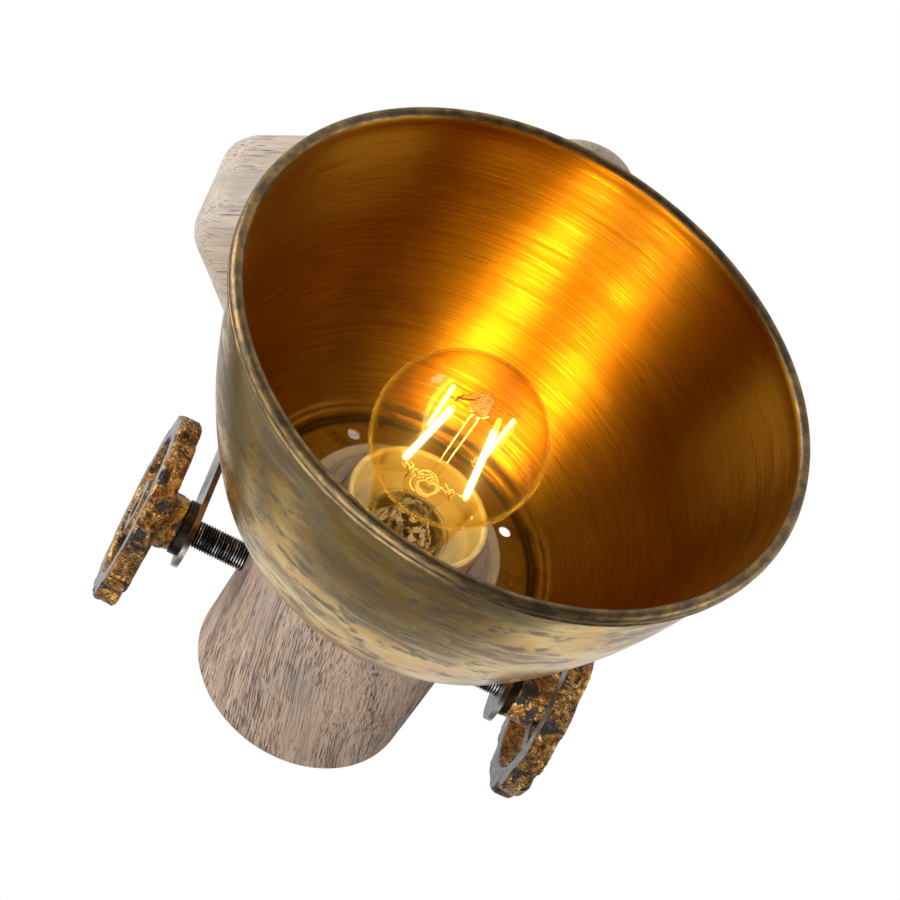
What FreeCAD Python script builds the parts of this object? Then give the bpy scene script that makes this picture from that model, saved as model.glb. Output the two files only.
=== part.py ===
import FreeCAD, Part
import math
import os
import Sketcher

# Surface-mounted spotlight: square wooden base block, swivelling U-shaped yoke,
# and a tilting head (turned wooden cup, spun shade, lampholder and bulb) clamped
# by two cast handwheels on a threaded rod.
#
# Frame: origin at the centre of the block's mounting face, +Z up into the ceiling
# or wall, +X along the block's grain. Everything hangs below z = 0.
# Rest position: yoke turned by yoke_turn about Z, shade axis head_tip degrees
# above the plane of the rod that is parallel to the block.

V = FreeCAD.Vector
Rot = FreeCAD.Rotation
Pl = FreeCAD.Placement

doc = FreeCAD.newDocument("spotlight")

# ---------------------------------------------------------------- dimensions
sheet = doc.addObject("Spreadsheet::Sheet", "Dims")
DIMS = [
    # base block
    ("block_side", 160), ("block_thick", 48), ("block_corner", 20),
    ("block_front_round", 9.5), ("block_back_round", 8),
    ("recess_long", 116), ("recess_wide", 72), ("recess_deep", 34), ("recess_corner", 8),
    ("stud_hole_rad", 5.2), ("block_screw_x", 50), ("block_screw_hole_rad", 2.3),
    ("counterbore_rad", 4.6), ("counterbore_deep", 6),
    # strap
    ("strap_long", 112), ("strap_wide", 20), ("strap_thick", 2),
    ("slot_pitch", 60), ("slot_rad", 2.5), ("slot_long", 14), ("strap_thread_rad", 2.0),
    # block screws
    ("block_screw_rad", 1.95), ("block_screw_head_rad", 3.8), ("block_screw_head_high", 2.6),
    # swivel stud and its fasteners
    ("stud_rad", 5), ("stud_bore_rad", 3.3), ("stud_top", -25), ("stud_bottom", -60),
    ("nut_flats", 14), ("nut_high", 5), ("nut_bore_rad", 5.03),
    ("stud_washer_rad", 10), ("stud_washer_high", 1.6),
    # yoke
    ("yoke_turn", 38), ("yoke_half", 62.25), ("yoke_thick", 2), ("yoke_wide", 22),
    ("yoke_gap", 0.1), ("yoke_end_round", 10.8), ("yoke_bend_out", 4), ("yoke_bend_in", 2),
    ("yoke_past_rod", 14), ("rod_drop", 158), ("rod_clear_rad", 5.08),
    # head
    ("head_tip", 6.5),
    ("cup_rad", 40), ("cup_back", -44), ("cup_front", 42), ("cup_back_round", 3),
    ("cup_bore_rad", 24.6), ("cup_bore_floor", 11), ("cup_chamber_rad", 14),
    ("cup_chamber_floor", -24), ("cup_lead_rad", 5.5), ("cup_rod_rad", 5.05),
    ("shade_sheet", 1.0), ("shade_hole_rad", 24.4), ("shade_floor", 42),
    ("vent_ring", 44), ("vent_rad", 2.35), ("vent_first", 36.4),
    ("holder_screw_ring", 33.8), ("holder_screw_rad", 1.7), ("holder_screw_hole", 1.75),
    ("holder_screw_head_rad", 3.0), ("holder_screw_head_high", 2.0), ("holder_screw_end", 22),
    ("flange_rad", 37.3), ("flange_top", 47.8), ("holder_back", 13), ("holder_barrel_rad", 24),
    ("holder_step_rad", 29), ("holder_step_top", 49), ("holder_tube_rad", 25.9),
    ("holder_tube_top", 62.2), ("holder_mouth_rad", 23.3), ("holder_mouth_floor", 50.5),
    ("holder_socket_rad", 14.3), ("holder_socket_floor", 22),
    ("ring_in_rad", 26.1), ("ring_out_rad", 30.6), ("ring_low", 49.1), ("ring_top", 53.1),
    ("shell_out_rad", 14.2), ("shell_in_rad", 13.4), ("shell_low", 30), ("shell_top", 50.4),
    ("rod_rad", 5), ("rod_half", 81.4), ("rod_chamfer", 0.8),
    ("gland_flange_rad", 8), ("gland_flange_high", 3), ("gland_stem_rad", 5.4),
    ("gland_bore_rad", 3.3), ("gland_stem_end", -18),
    # clamp
    ("clamp_washer_rad", 10), ("clamp_washer_high", 3), ("clamp_start", 62.35),
    ("wheel_start", 65.45), ("wheel_hub_long", 16.85), ("wheel_hub_small", 9.7),
    ("wheel_hub_big", 10.6), ("wheel_rim_low", 7.85), ("wheel_rim_rad", 35.5),
    ("wheel_rim_in", 25), ("wheel_bore_rad", 5.08), ("wheel_spoke_wide", 8),
    ("wheel_spoke_low", 9.1), ("wheel_spoke_high", 6.4), ("wheel_lobes", 12),
    ("wheel_scallop_rad", 10), ("wheel_scallop_ring", 44.3), ("wheel_spokes", 3),
    # bulb
    ("bulb_rad", 30), ("bulb_centre", 100.15), ("bulb_wall", 0.8),
    ("cap_rad", 13.1), ("cap_in_rad", 12.5), ("cap_low", 30.5), ("cap_top", 52.5),
    ("tip_low", 24.6), ("tip_high", 3.0), ("tip_rad", 4.6),
    ("stem_rod_rad", 1.6), ("strip_rad", 1.0), ("wire_rad", 0.35),
]
for i, (alias, value) in enumerate(DIMS, 1):
    sheet.set("A%d" % i, alias)
    sheet.set("B%d" % i, str(value))
    sheet.setAlias("B%d" % i, alias)
doc.recompute()
ALIASES = sorted((a for a, _ in DIMS), key=len, reverse=True)


def E(text):
    """Expression text with every dimension name pointed at the sheet."""
    words, out = "", ""
    for ch in str(text) + " ":
        if ch.isalnum() or ch in "_.":
            words += ch
        else:
            out += ("Dims." + words if words in ALIASES else words) + ch
            words = ""
    return out.strip()


def D(name):
    return float(sheet.get(name))


# ---------------------------------------------------------------- placements
YOKE_AT = Pl(V(0, 0, 0), Rot(V(0, 0, 1), D("yoke_turn")))
HEAD_AT = Pl(V(0, 0, -D("rod_drop")),
             Rot(V(0, 0, 1), D("yoke_turn")) * Rot(V(1, 0, 0), 90 - D("head_tip")))
HERE = Pl()


def at(pos=(0, 0, 0), axis=(0, 0, 1), turn=0):
    return Pl(V(*pos), Rot(V(0, 0, 1), V(*axis)) * Rot(V(0, 0, 1), turn))


def bind_pos(obj, pos):
    for k, p in zip("xyz", pos):
        if isinstance(p, str):
            obj.setExpression("Placement.Base." + k, E(p))


def start(pos):
    return tuple(0 if isinstance(p, str) else p for p in pos)


# ---------------------------------------------------------------- primitives
def cylinder(name, r, length, pos=(0, 0, 0), axis=(0, 0, 1)):
    o = doc.addObject("Part::Cylinder", name)
    o.setExpression("Radius", E(r))
    o.setExpression("Height", E(length))
    o.Placement = at(start(pos), axis)
    bind_pos(o, pos)
    return o


def box(name, lx, ly, lz, pos=(0, 0, 0), turn=0):
    o = doc.addObject("Part::Box", name)
    o.setExpression("Length", E(lx))
    o.setExpression("Width", E(ly))
    o.setExpression("Height", E(lz))
    o.Placement = at(start(pos), (0, 0, 1), turn)
    bind_pos(o, pos)
    return o


def cone(name, r1, r2, length, pos=(0, 0, 0), axis=(0, 0, 1)):
    o = doc.addObject("Part::Cone", name)
    o.setExpression("Radius1", E(r1))
    o.setExpression("Radius2", E(r2))
    o.setExpression("Height", E(length))
    o.Placement = at(start(pos), axis)
    bind_pos(o, pos)
    return o


def hexagon(name, flats, length, pos=(0, 0, 0)):
    o = doc.addObject("Part::Prism", name)
    o.Polygon = 6
    o.setExpression("Circumradius", E("(%s) / 2 / cos(30 deg)" % flats))
    o.setExpression("Height", E(length))
    o.Placement = at(start(pos))
    bind_pos(o, pos)
    return o


def cut(name, base, *tools):
    if len(tools) == 1:
        tool = tools[0]
    else:
        tool = doc.addObject("Part::MultiFuse", name + "_tools")
        tool.Shapes = list(tools)
    o = doc.addObject("Part::Cut", name)
    o.Base = base
    o.Tool = tool
    return o


def fuse(name, *parts):
    o = doc.addObject("Part::MultiFuse", name)
    o.Shapes = list(parts)
    return o


def group(name, *parts):
    o = doc.addObject("Part::Compound", name)
    o.Links = list(parts)
    return o


# ---------------------------------------------------------------- sketches
def new_body(name):
    return doc.addObject("PartDesign::Body", name)


def plane(body, role):
    return [f for f in body.Origin.OriginFeatures if f.Role == role][0]


def new_sketch(body, name, role, offset=None):
    sk = body.newObject("Sketcher::SketchObject", name)
    sk.AttachmentSupport = [(plane(body, role), "")]
    sk.MapMode = "FlatFace"
    if offset is not None:
        if isinstance(offset, str):
            sk.setExpression("AttachmentOffset.Base.z", E(offset))
        else:
            sk.AttachmentOffset = Pl(V(0, 0, offset), Rot())
    return sk


def number(text):
    """Value of an expression in the sheet's names, for the first drawing of a sketch."""
    out, words = "", ""
    for ch in str(text) + " ":
        if ch.isalnum() or ch in "_.":
            words += ch
        else:
            out += (repr(D(words)) if words in ALIASES else words) + ch
            words = ""
    total, sign, tok = 0.0, 1.0, out.split()
    product = None
    op = "+"
    for item in tok:
        if item in ("+", "-", "*", "/"):
            op = item
            continue
        v = float(item)
        if op in ("+", "-"):
            if product is not None:
                total += sign * product
            sign = 1.0 if op == "+" else -1.0
            product = v
        elif op == "*":
            product *= v
        else:
            product /= v
    return total + sign * product


def outline(sk, corners):
    """Closed polyline. Each corner is (across, up), numbers or expressions; each is
    held by two distances from the sketch origin, bound to the sheet."""
    pts = [(number(x), number(y)) for x, y in corners]
    first = sk.GeometryCount
    n = len(pts)
    sk.addGeometry([Part.LineSegment(V(*pts[i], 0), V(*pts[(i + 1) % n], 0)) for i in range(n)])
    for i in range(n):
        sk.addConstraint(Sketcher.Constraint("Coincident", first + i, 2, first + (i + 1) % n, 1))
    for i in range(n):
        for kind, value, raw in (("DistanceX", pts[i][0], corners[i][0]),
                                 ("DistanceY", pts[i][1], corners[i][1])):
            if abs(value) < 1e-9:
                sk.addConstraint(Sketcher.Constraint("PointOnObject", first + i, 1,
                                                     -2 if kind == "DistanceX" else -1))
                continue
            c = sk.addConstraint(Sketcher.Constraint(kind, -1, 1, first + i, 1, value))
            if isinstance(raw, str):
                sk.setExpression("Constraints[%d]" % c, E(raw))


def ring(sk, x, y, r):
    """Circle with its centre and radius bound to the sheet."""
    g = sk.addGeometry(Part.Circle(V(number(x), number(y), 0), V(0, 0, 1), number(r)))
    for kind, raw in (("DistanceX", x), ("DistanceY", y)):
        if abs(number(raw)) < 1e-9:
            sk.addConstraint(Sketcher.Constraint("PointOnObject", g, 3, -2 if kind == "DistanceX" else -1))
            continue
        c = sk.addConstraint(Sketcher.Constraint(kind, -1, 1, g, 3, number(raw)))
        if isinstance(raw, str):
            sk.setExpression("Constraints[%d]" % c, E(raw))
    c = sk.addConstraint(Sketcher.Constraint("Radius", g, number(r)))
    if isinstance(r, str):
        sk.setExpression("Constraints[%d]" % c, E(r))


def pad(body, name, sk, length, reverse=False, symmetric=False):
    p = body.newObject("PartDesign::Pad", name)
    p.Profile = sk
    p.setExpression("Length", E(length))
    p.Reversed = reverse
    if symmetric:
        p.SideType = "Symmetric"
    return p


def pocket(body, name, sk, length=None, reverse=False, symmetric=False):
    """length None cuts through everything on its side."""
    p = body.newObject("PartDesign::Pocket", name)
    p.Profile = sk
    if length is None:
        p.Type = "ThroughAll"
    else:
        p.setExpression("Length", E(length))
    p.Reversed = reverse
    if symmetric:
        p.SideType = "Symmetric"
    return p


def revolve(body, name, sk):
    r = body.newObject("PartDesign::Revolution", name)
    r.Profile = sk
    r.ReferenceAxis = (sk, ["V_Axis"])
    r.Angle = 360
    return r


def polar(body, name, feature, count):
    p = body.newObject("PartDesign::PolarPattern", name)
    p.Originals = [feature]
    p.Axis = (plane(body, "Z_Axis"), [""])
    p.Angle = 360
    p.setExpression("Occurrences", E(count))
    body.Tip = p
    return p


def edges(feature, test):
    """Names of the feature's edges that pass a test on (edge, box centre)."""
    doc.recompute()
    out = []
    for k, e in enumerate(feature.Shape.Edges, 1):
        if test(e, e.BoundBox):
            out.append("Edge%d" % k)
    if not out:
        raise RuntimeError("no edge found on " + feature.Name)
    return out


def fillet(body, name, base, r, test):
    f = body.newObject("PartDesign::Fillet", name)
    f.Base = (base, edges(base, test))
    f.setExpression("Radius", E(r))
    return f


def chamfer(body, name, base, size, test):
    f = body.newObject("PartDesign::Chamfer", name)
    f.Base = (base, edges(base, test))
    f.setExpression("Size", E(size))
    return f


def turned(name, corners):
    """Body turned about Z from a half section given as (radius, height) corners."""
    body = new_body(name)
    sk = new_sketch(body, name + "_section", "XZ_Plane")
    outline(sk, corners)
    return body, revolve(body, name + "_turning", sk)


def flat(b, z):
    return abs(b.ZMin - z) < 1e-4 and abs(b.ZMax - z) < 1e-4


NODES = {}


def keep(name, obj, where=HERE):
    obj.Label = name
    obj.Placement = where
    NODES[name] = obj


# ================================================================ base block
body = new_body("base_block_body")
sk = new_sketch(body, "block_face", "XY_Plane")
h = "block_side / 2"
outline(sk, [("0 - " + h, "0 - " + h), (h, "0 - " + h), (h, h), ("0 - " + h, h)])
f = pad(body, "block_pad", sk, "block_thick", reverse=True)
f = fillet(body, "block_corners", f, "block_corner", lambda e, b: b.XLength < 1e-4 and b.YLength < 1e-4)
t = D("block_thick")
f = fillet(body, "block_front", f, "block_front_round", lambda e, b: flat(b, -t))
f = fillet(body, "block_back", f, "block_back_round", lambda e, b: flat(b, 0))
sk = new_sketch(body, "recess_outline", "XY_Plane")
a, w = "recess_long / 2", "recess_wide / 2"
outline(sk, [("0 - " + a, "0 - " + w), (a, "0 - " + w), (a, w), ("0 - " + a, w)])
f = pocket(body, "recess", sk, "recess_deep")
rl, rw = D("recess_long") / 2, D("recess_wide") / 2
f = fillet(body, "recess_corners", f, "recess_corner",
           lambda e, b: b.XLength < 1e-4 and b.YLength < 1e-4
           and abs(abs(b.XMin) - rl) < 1e-3 and abs(abs(b.YMin) - rw) < 1e-3)
sk = new_sketch(body, "stud_hole_centre", "XY_Plane")
ring(sk, "0", "0", "stud_hole_rad")
ring(sk, "block_screw_x", "0", "block_screw_hole_rad")
ring(sk, "0 - block_screw_x", "0", "block_screw_hole_rad")
f = pocket(body, "through_holes", sk)
sk = new_sketch(body, "counterbore_circles", "XY_Plane", "0 - block_thick")
ring(sk, "block_screw_x", "0", "counterbore_rad")
ring(sk, "0 - block_screw_x", "0", "counterbore_rad")
f = pocket(body, "counterbores", sk, "counterbore_deep", reverse=True)
keep("base_block", body)

# ---------------------------------------------------------------- mounting strap
plate = box("strap_plate", "strap_long", "strap_wide", "strap_thick",
            ("0 - strap_long / 2", "0 - strap_wide / 2", "0 - strap_thick"))
tools = []
for k, s in (("right", ""), ("left", "0 - ")):
    mid = "slot_pitch / 2"
    half = "slot_long / 2 - slot_rad"
    lo = ("%s%s" % (s, mid)) + " - slot_long / 2 + slot_rad"
    hi = ("%s%s" % (s, mid)) + " + slot_long / 2 - slot_rad"
    tools.append(box("slot_%s" % k, "slot_long - 2 * slot_rad", "2 * slot_rad", "strap_thick + 2",
                     (lo, "0 - slot_rad", "0 - strap_thick - 1")))
    tools.append(cylinder("slot_%s_a" % k, "slot_rad", "strap_thick + 2", (lo, 0, "0 - strap_thick - 1")))
    tools.append(cylinder("slot_%s_b" % k, "slot_rad", "strap_thick + 2", (hi, 0, "0 - strap_thick - 1")))
    tools.append(cylinder("strap_thread_%s" % k, "strap_thread_rad", "strap_thick + 2",
                          (s + "block_screw_x", 0, "0 - strap_thick - 1")))
keep("mounting_strap", cut("mounting_strap_cut", plate, *tools))

# ---------------------------------------------------------------- block screws
pair = []
for k, s in (("right", ""), ("left", "0 - ")):
    x = s + "block_screw_x"
    seat = "0 - block_thick + counterbore_deep"
    shank = cylinder("block_screw_shank_" + k, "block_screw_rad", "block_thick - counterbore_deep - 0.2",
                     (x, 0, seat))
    head = cylinder("block_screw_head_" + k, "block_screw_head_rad", "block_screw_head_high",
                    (x, 0, seat + " - block_screw_head_high"))
    slot = box("block_screw_slot_" + k, "9", "1", "1.2",
               (x + " - 4.5", -0.5, seat + " - block_screw_head_high - 0.1"))
    pair.append(cut("block_screw_" + k, fuse("block_screw_blank_" + k, shank, head), slot))
keep("block_screws", group("block_screws_pair", *pair))

# ---------------------------------------------------------------- mains terminal in the recess
tb = box("terminal_body", "32", "15", "13", (-16, 14.5, "0 - recess_deep"))
wells, bores, pins = [], [], []
for k, x in enumerate((-10, 0, 10)):
    bores.append(cylinder("terminal_bore_%d" % k, "1.9", "17", (x, 13.5, "0 - recess_deep + 5"), (0, 1, 0)))
    wells.append(cylinder("terminal_well_%d" % k, "1.95", "9", (x, 22, "0 - recess_deep + 5")))
    pin = cylinder("terminal_pin_%d" % k, "1.9", "4.5", (x, 22, "0 - recess_deep + 7"))
    nick = box("terminal_nick_%d" % k, "4.2", "0.7", "0.9", (x - 2.1, 21.65, "0 - recess_deep + 10.7"))
    pins.append(cut("terminal_screw_%d" % k, pin, nick))
keep("terminal_block", cut("terminal_block_cut", tb, *(bores + wells)))
keep("terminal_screws", group("terminal_screws_set", *pins))

# ---------------------------------------------------------------- swivel stud and fasteners
tube = cylinder("stud_blank", "stud_rad", "stud_top - stud_bottom", (0, 0, "stud_bottom"))
bore = cylinder("stud_bore", "stud_bore_rad", "stud_top - stud_bottom + 2", (0, 0, "stud_bottom - 1"))
keep("swivel_stud", cut("swivel_stud_cut", tube, bore))


def washer(name, z, r="stud_washer_rad", thick="stud_washer_high", hole="nut_bore_rad"):
    return cut(name + "_cut", cylinder(name + "_disc", r, thick, (0, 0, z)),
               cylinder(name + "_hole", hole, thick + " + 2", (0, 0, z + " - 1")))


def nut(name, z, bore_r="nut_bore_rad"):
    blank = hexagon(name + "_hex", "nut_flats", "nut_high", (0, 0, z))
    dome = cone(name + "_dome_low", "nut_flats / 2 + 0.1", "nut_flats / 2 + 5.1", "5", (0, 0, z))
    roof = cone(name + "_dome_high", "nut_flats / 2 + 5.1", "nut_flats / 2 + 0.1", "5",
                (0, 0, z + " + nut_high - 5"))
    c1 = doc.addObject("Part::Common", name + "_bevel_low")
    c1.Base, c1.Tool = blank, dome
    c2 = doc.addObject("Part::Common", name + "_bevel_high")
    c2.Base, c2.Tool = c1, roof
    return cut(name + "_cut", c2, cylinder(name + "_thread", bore_r, "nut_high + 2", (0, 0, z + " - 1")))


keep("stud_washer_top", washer("stud_washer_top", "0 - recess_deep"))
keep("stud_nut_top", nut("stud_nut_top", "0 - recess_deep + stud_washer_high"))
low = "0 - block_thick - 2 * yoke_gap - yoke_thick - stud_washer_high"
keep("stud_washer_bottom", washer("stud_washer_bottom", low))
keep("stud_nut_bottom", nut("stud_nut_bottom", low + " - nut_high"))
bush = fuse("stud_bush_blank",
            cylinder("stud_bush_collar", "stud_rad", "1.5", (0, 0, "stud_bottom - 1.5")),
            cylinder("stud_bush_sleeve", "stud_bore_rad - 0.05", "6", (0, 0, "stud_bottom")))
keep("stud_bush", cut("stud_bush_cut", bush, cylinder("stud_bush_bore", "2.6", "10", (0, 0, "stud_bottom - 2"))))

# ================================================================ yoke
body = new_body("yoke_body")
sk = new_sketch(body, "yoke_outline", "XZ_Plane")
zo = "0 - block_thick - yoke_gap"
zi = "0 - block_thick - yoke_gap - yoke_thick"
ze = "0 - rod_drop - yoke_past_rod"
xo, xi = "yoke_half", "yoke_half - yoke_thick"
outline(sk, [("0 - yoke_half", zo), (xo, zo), (xo, ze), (xi, ze), (xi, zi),
             ("0 - yoke_half + yoke_thick", zi), ("0 - yoke_half + yoke_thick", ze), ("0 - yoke_half", ze)])
f = pad(body, "yoke_strip", sk, "yoke_wide", symmetric=True)
YO, YT = D("yoke_half"), D("yoke_thick")
ZO = -D("block_thick") - D("yoke_gap")
f = fillet(body, "yoke_outer_bend", f, "yoke_bend_out",
           lambda e, b: flat(b, ZO) and b.XLength < 1e-4 and abs(abs(b.XMin) - YO) < 1e-3)
f = fillet(body, "yoke_inner_bend", f, "yoke_bend_in",
           lambda e, b: flat(b, ZO - YT) and b.XLength < 1e-4 and abs(abs(b.XMin) - YO + YT) < 1e-3)
f = fillet(body, "yoke_ends", f, "yoke_end_round",
           lambda e, b: flat(b, -D("rod_drop") - D("yoke_past_rod")) and b.YLength < 1e-4)
sk = new_sketch(body, "rod_hole_circle", "YZ_Plane")
ring(sk, "0", "0 - rod_drop", "rod_clear_rad")
f = pocket(body, "rod_holes", sk, symmetric=True)
sk = new_sketch(body, "stud_clear_circle", "XY_Plane")
ring(sk, "0", "0", "rod_clear_rad")
f = pocket(body, "stud_clearance", sk)
keep("yoke_bracket", body, YOKE_AT)

# ================================================================ head: wooden cup
body, f = turned("wood_cup_body", [
    ("cup_lead_rad", "cup_back"), ("cup_rad", "cup_back"), ("cup_rad", "cup_front"),
    ("cup_bore_rad", "cup_front"), ("cup_bore_rad", "cup_bore_floor"),
    ("cup_chamber_rad", "cup_bore_floor"), ("cup_chamber_rad", "cup_chamber_floor"),
    ("cup_lead_rad", "cup_chamber_floor")])
CR = D("cup_rad")
f = fillet(body, "cup_back_edge", f, "cup_back_round",
           lambda e, b: flat(b, D("cup_back")) and abs(b.XMax - CR) < 1e-3)
sk = new_sketch(body, "cup_rod_circle", "YZ_Plane")
ring(sk, "0", "0", "cup_rod_rad")
f = pocket(body, "cup_rod_hole", sk, symmetric=True)
sk = new_sketch(body, "cup_screw_circles", "XY_Plane", "cup_front")
ring(sk, "0", "holder_screw_ring", "holder_screw_hole")
ring(sk, "0", "0 - holder_screw_ring", "holder_screw_hole")
f = pocket(body, "cup_screw_holes", sk, "cup_front - holder_screw_end + 2")
keep("wood_cup", body, HEAD_AT)

# ---------------------------------------------------------------- spun shade
# Mid-line of the sheet as (radius, height above the rod axis); the wall is offset
# half a sheet to each side of it, and the rim is a rolled bead.
MID = [(24.4, 42.5), (36.0, 42.5), (47.2, 42.5), (49.4, 42.9), (50.6, 44.1), (51.8, 45.1), (53.4, 45.5),
       (55.0, 45.3), (57.2, 46.6), (63.0, 52.9), (69.6, 61.6), (78.1, 78.0), (85.5, 95.8),
       (91.2, 113.5), (94.9, 127.5), (97.6, 139.0), (98.5, 145.0)]
half = D("shade_sheet") / 2


def offset_line(points, d):
    out = []
    for k, (x, y) in enumerate(points):
        x0, y0 = points[max(k - 1, 0)]
        x1, y1 = points[min(k + 1, len(points) - 1)]
        n = math.hypot(x1 - x0, y1 - y0)
        out.append((x + d * (y1 - y0) / n, y - d * (x1 - x0) / n))
    return out


outer = offset_line(MID, half)
inner = offset_line(MID, -half)
outer[0] = (D("shade_hole_rad"), D("shade_floor"))
inner[0] = (D("shade_hole_rad"), D("shade_floor") + D("shade_sheet"))
HEM = [outer[-1], (101.1, 145.2), (102.0, 147.6), (101.2, 150.1), (99.7, 150.8), (98.2, 150.1),
       (97.5, 147.6), (97.6, 146.0), inner[-1]]


def spline(points, through=None):
    c = Part.BSplineCurve()
    c.interpolate([V(x, y, 0) for x, y in points])
    return c


body = new_body("shade_body")
sk = new_sketch(body, "shade_section", "XZ_Plane")
g1 = sk.addGeometry(spline(outer[2:]))
g2 = sk.addGeometry(spline(HEM))
g3 = sk.addGeometry(spline(list(reversed(inner[2:]))))
floor = [outer[2], outer[0], inner[0], inner[2]]
g4 = sk.addGeometry([Part.LineSegment(V(*floor[k], 0), V(*floor[k + 1], 0)) for k in range(3)])
sk.addConstraint(Sketcher.Constraint("Coincident", g1, 2, g2, 1))
sk.addConstraint(Sketcher.Constraint("Coincident", g2, 2, g3, 1))
f = revolve(body, "shade_spinning", sk)
sk = new_sketch(body, "vent_circle", "XY_Plane")
va = math.radians(D("vent_first"))
g = sk.addGeometry(Part.Circle(V(D("vent_ring") * math.cos(va), D("vent_ring") * math.sin(va), 0), V(0, 0, 1),
                               D("vent_rad")))
c = sk.addConstraint(Sketcher.Constraint("DistanceX", -1, 1, g, 3, D("vent_ring") * math.cos(va)))
sk.setExpression("Constraints[%d]" % c, E("vent_ring * cos(vent_first * 1 deg)"))
c = sk.addConstraint(Sketcher.Constraint("DistanceY", -1, 1, g, 3, D("vent_ring") * math.sin(va)))
sk.setExpression("Constraints[%d]" % c, E("vent_ring * sin(vent_first * 1 deg)"))
c = sk.addConstraint(Sketcher.Constraint("Radius", g, D("vent_rad")))
sk.setExpression("Constraints[%d]" % c, E("vent_rad"))
vent = pocket(body, "vent_hole", sk, reverse=True)
f = polar(body, "vent_holes", vent, "4")
sk = new_sketch(body, "shade_screw_circles", "XY_Plane")
ring(sk, "0", "holder_screw_ring", "holder_screw_hole + 0.2")
ring(sk, "0", "0 - holder_screw_ring", "holder_screw_hole + 0.2")
f = pocket(body, "shade_screw_holes", sk, reverse=True)
keep("shade", body, HEAD_AT)

# ---------------------------------------------------------------- lampholder
body, f = turned("lampholder", [
    ("0", "holder_back"), ("holder_barrel_rad", "holder_back"),
    ("holder_barrel_rad", "shade_floor + shade_sheet"), ("flange_rad", "shade_floor + shade_sheet"),
    ("flange_rad", "flange_top"), ("holder_step_rad", "flange_top"),
    ("holder_step_rad", "holder_step_top"), ("holder_tube_rad", "holder_step_top"),
    ("holder_tube_rad", "holder_tube_top"), ("holder_mouth_rad", "holder_tube_top"),
    ("holder_mouth_rad", "holder_mouth_floor"), ("holder_socket_rad", "holder_mouth_floor"),
    ("holder_socket_rad", "holder_socket_floor"), ("0", "holder_socket_floor")])
f = fillet(body, "flange_edge", f, "1.4",
           lambda e, b: flat(b, D("flange_top")) and abs(b.XMax - D("flange_rad")) < 1e-3)
f = fillet(body, "tube_lip", f, "1.1", lambda e, b: flat(b, D("holder_tube_top")))
sk = new_sketch(body, "holder_screw_circles", "XY_Plane", "flange_top")
ring(sk, "0", "holder_screw_ring", "holder_screw_hole + 0.2")
ring(sk, "0", "0 - holder_screw_ring", "holder_screw_hole + 0.2")
f = pocket(body, "holder_screw_holes", sk, "flange_top - shade_floor")
sk = new_sketch(body, "contact_screw_circles", "XY_Plane", "holder_back")
ring(sk, "9", "0", "2.05")
ring(sk, "0 - 9", "0", "2.05")
f = pocket(body, "contact_screw_holes", sk, "5", reverse=True)
keep("lampholder_body", body, HEAD_AT)

blank = cut("holder_ring_blank", cylinder("holder_ring_disc", "ring_out_rad", "ring_top - ring_low", (0, 0, "ring_low")),
            cylinder("holder_ring_hole", "ring_in_rad", "ring_top - ring_low + 2", (0, 0, "ring_low - 1")))
notches = []
for k in range(6):
    ang = 60 * k + 20
    n = box("ring_notch_%d" % k, "4", "5", "ring_top - ring_low + 2")
    n.Placement = Pl(V(0, 0, D("ring_low") - 1), Rot(V(0, 0, 1), ang)) * Pl(V(D("ring_out_rad") - 2, -2.5, 0), Rot())
    notches.append(n)
keep("holder_ring", cut("holder_ring_cut", blank, *notches), HEAD_AT)

pair = []
for k, s in (("far", ""), ("near", "0 - ")):
    y = s + "holder_screw_ring"
    shank = cylinder("holder_screw_shank_" + k, "holder_screw_rad", "flange_top - holder_screw_end",
                     (0, y, "holder_screw_end"))
    head = cylinder("holder_screw_head_" + k, "holder_screw_head_rad", "holder_screw_head_high", (0, y, "flange_top"))
    slot = box("holder_screw_slot_" + k, "7", "0.9", "1", (-3.5, y + " - 0.45", "flange_top + holder_screw_head_high - 0.9"))
    pair.append(cut("holder_screw_" + k, fuse("holder_screw_blank_" + k, shank, head), slot))
keep("holder_screws", group("holder_screws_pair", *pair), HEAD_AT)

shell = cut("thread_shell_cut", cylinder("shell_out", "shell_out_rad", "shell_top - shell_low", (0, 0, "shell_low")),
            cylinder("shell_in", "shell_in_rad", "shell_top - shell_low + 2", (0, 0, "shell_low - 1")))
keep("thread_shell", shell, HEAD_AT)

leaf = fuse("centre_contact_leaf",
            box("contact_foot", "20", "5", "0.6", (-10, -2.5, "holder_socket_floor")),
            box("contact_rise", "0.6", "5", "2", (-4.3, -2.5, "holder_socket_floor")),
            box("contact_tongue", "8", "5", "0.5", (-4.3, -2.5, "holder_socket_floor + 1.9")))
keep("centre_contact", leaf, HEAD_AT)

pair = []
for k, x in (("live", 9), ("return", -9)):
    pin = cylinder("contact_screw_pin_" + k, "2", "4.6", (x, 0, "holder_back + 0.2"))
    nick = box("contact_screw_nick_" + k, "4.4", "0.7", "0.9", (x - 2.2, -0.35, "holder_back + 0.1"))
    pair.append(cut("contact_screw_" + k, pin, nick))
keep("contact_screws", group("contact_screws_pair", *pair), HEAD_AT)

# ---------------------------------------------------------------- rod and lead gland
rod = cylinder("rod_blank", "rod_rad", "2 * rod_half", ("0 - rod_half", 0, 0), (1, 0, 0))
doc.recompute()
rc = doc.addObject("Part::Chamfer", "rod_chamfered")
rc.Base = rod
rc.Edges = [(k, D("rod_chamfer"), D("rod_chamfer")) for k, e in enumerate(rod.Shape.Edges, 1)
            if e.BoundBox.XLength < 1e-4]
keep("threaded_rod", rc, HEAD_AT)

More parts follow.
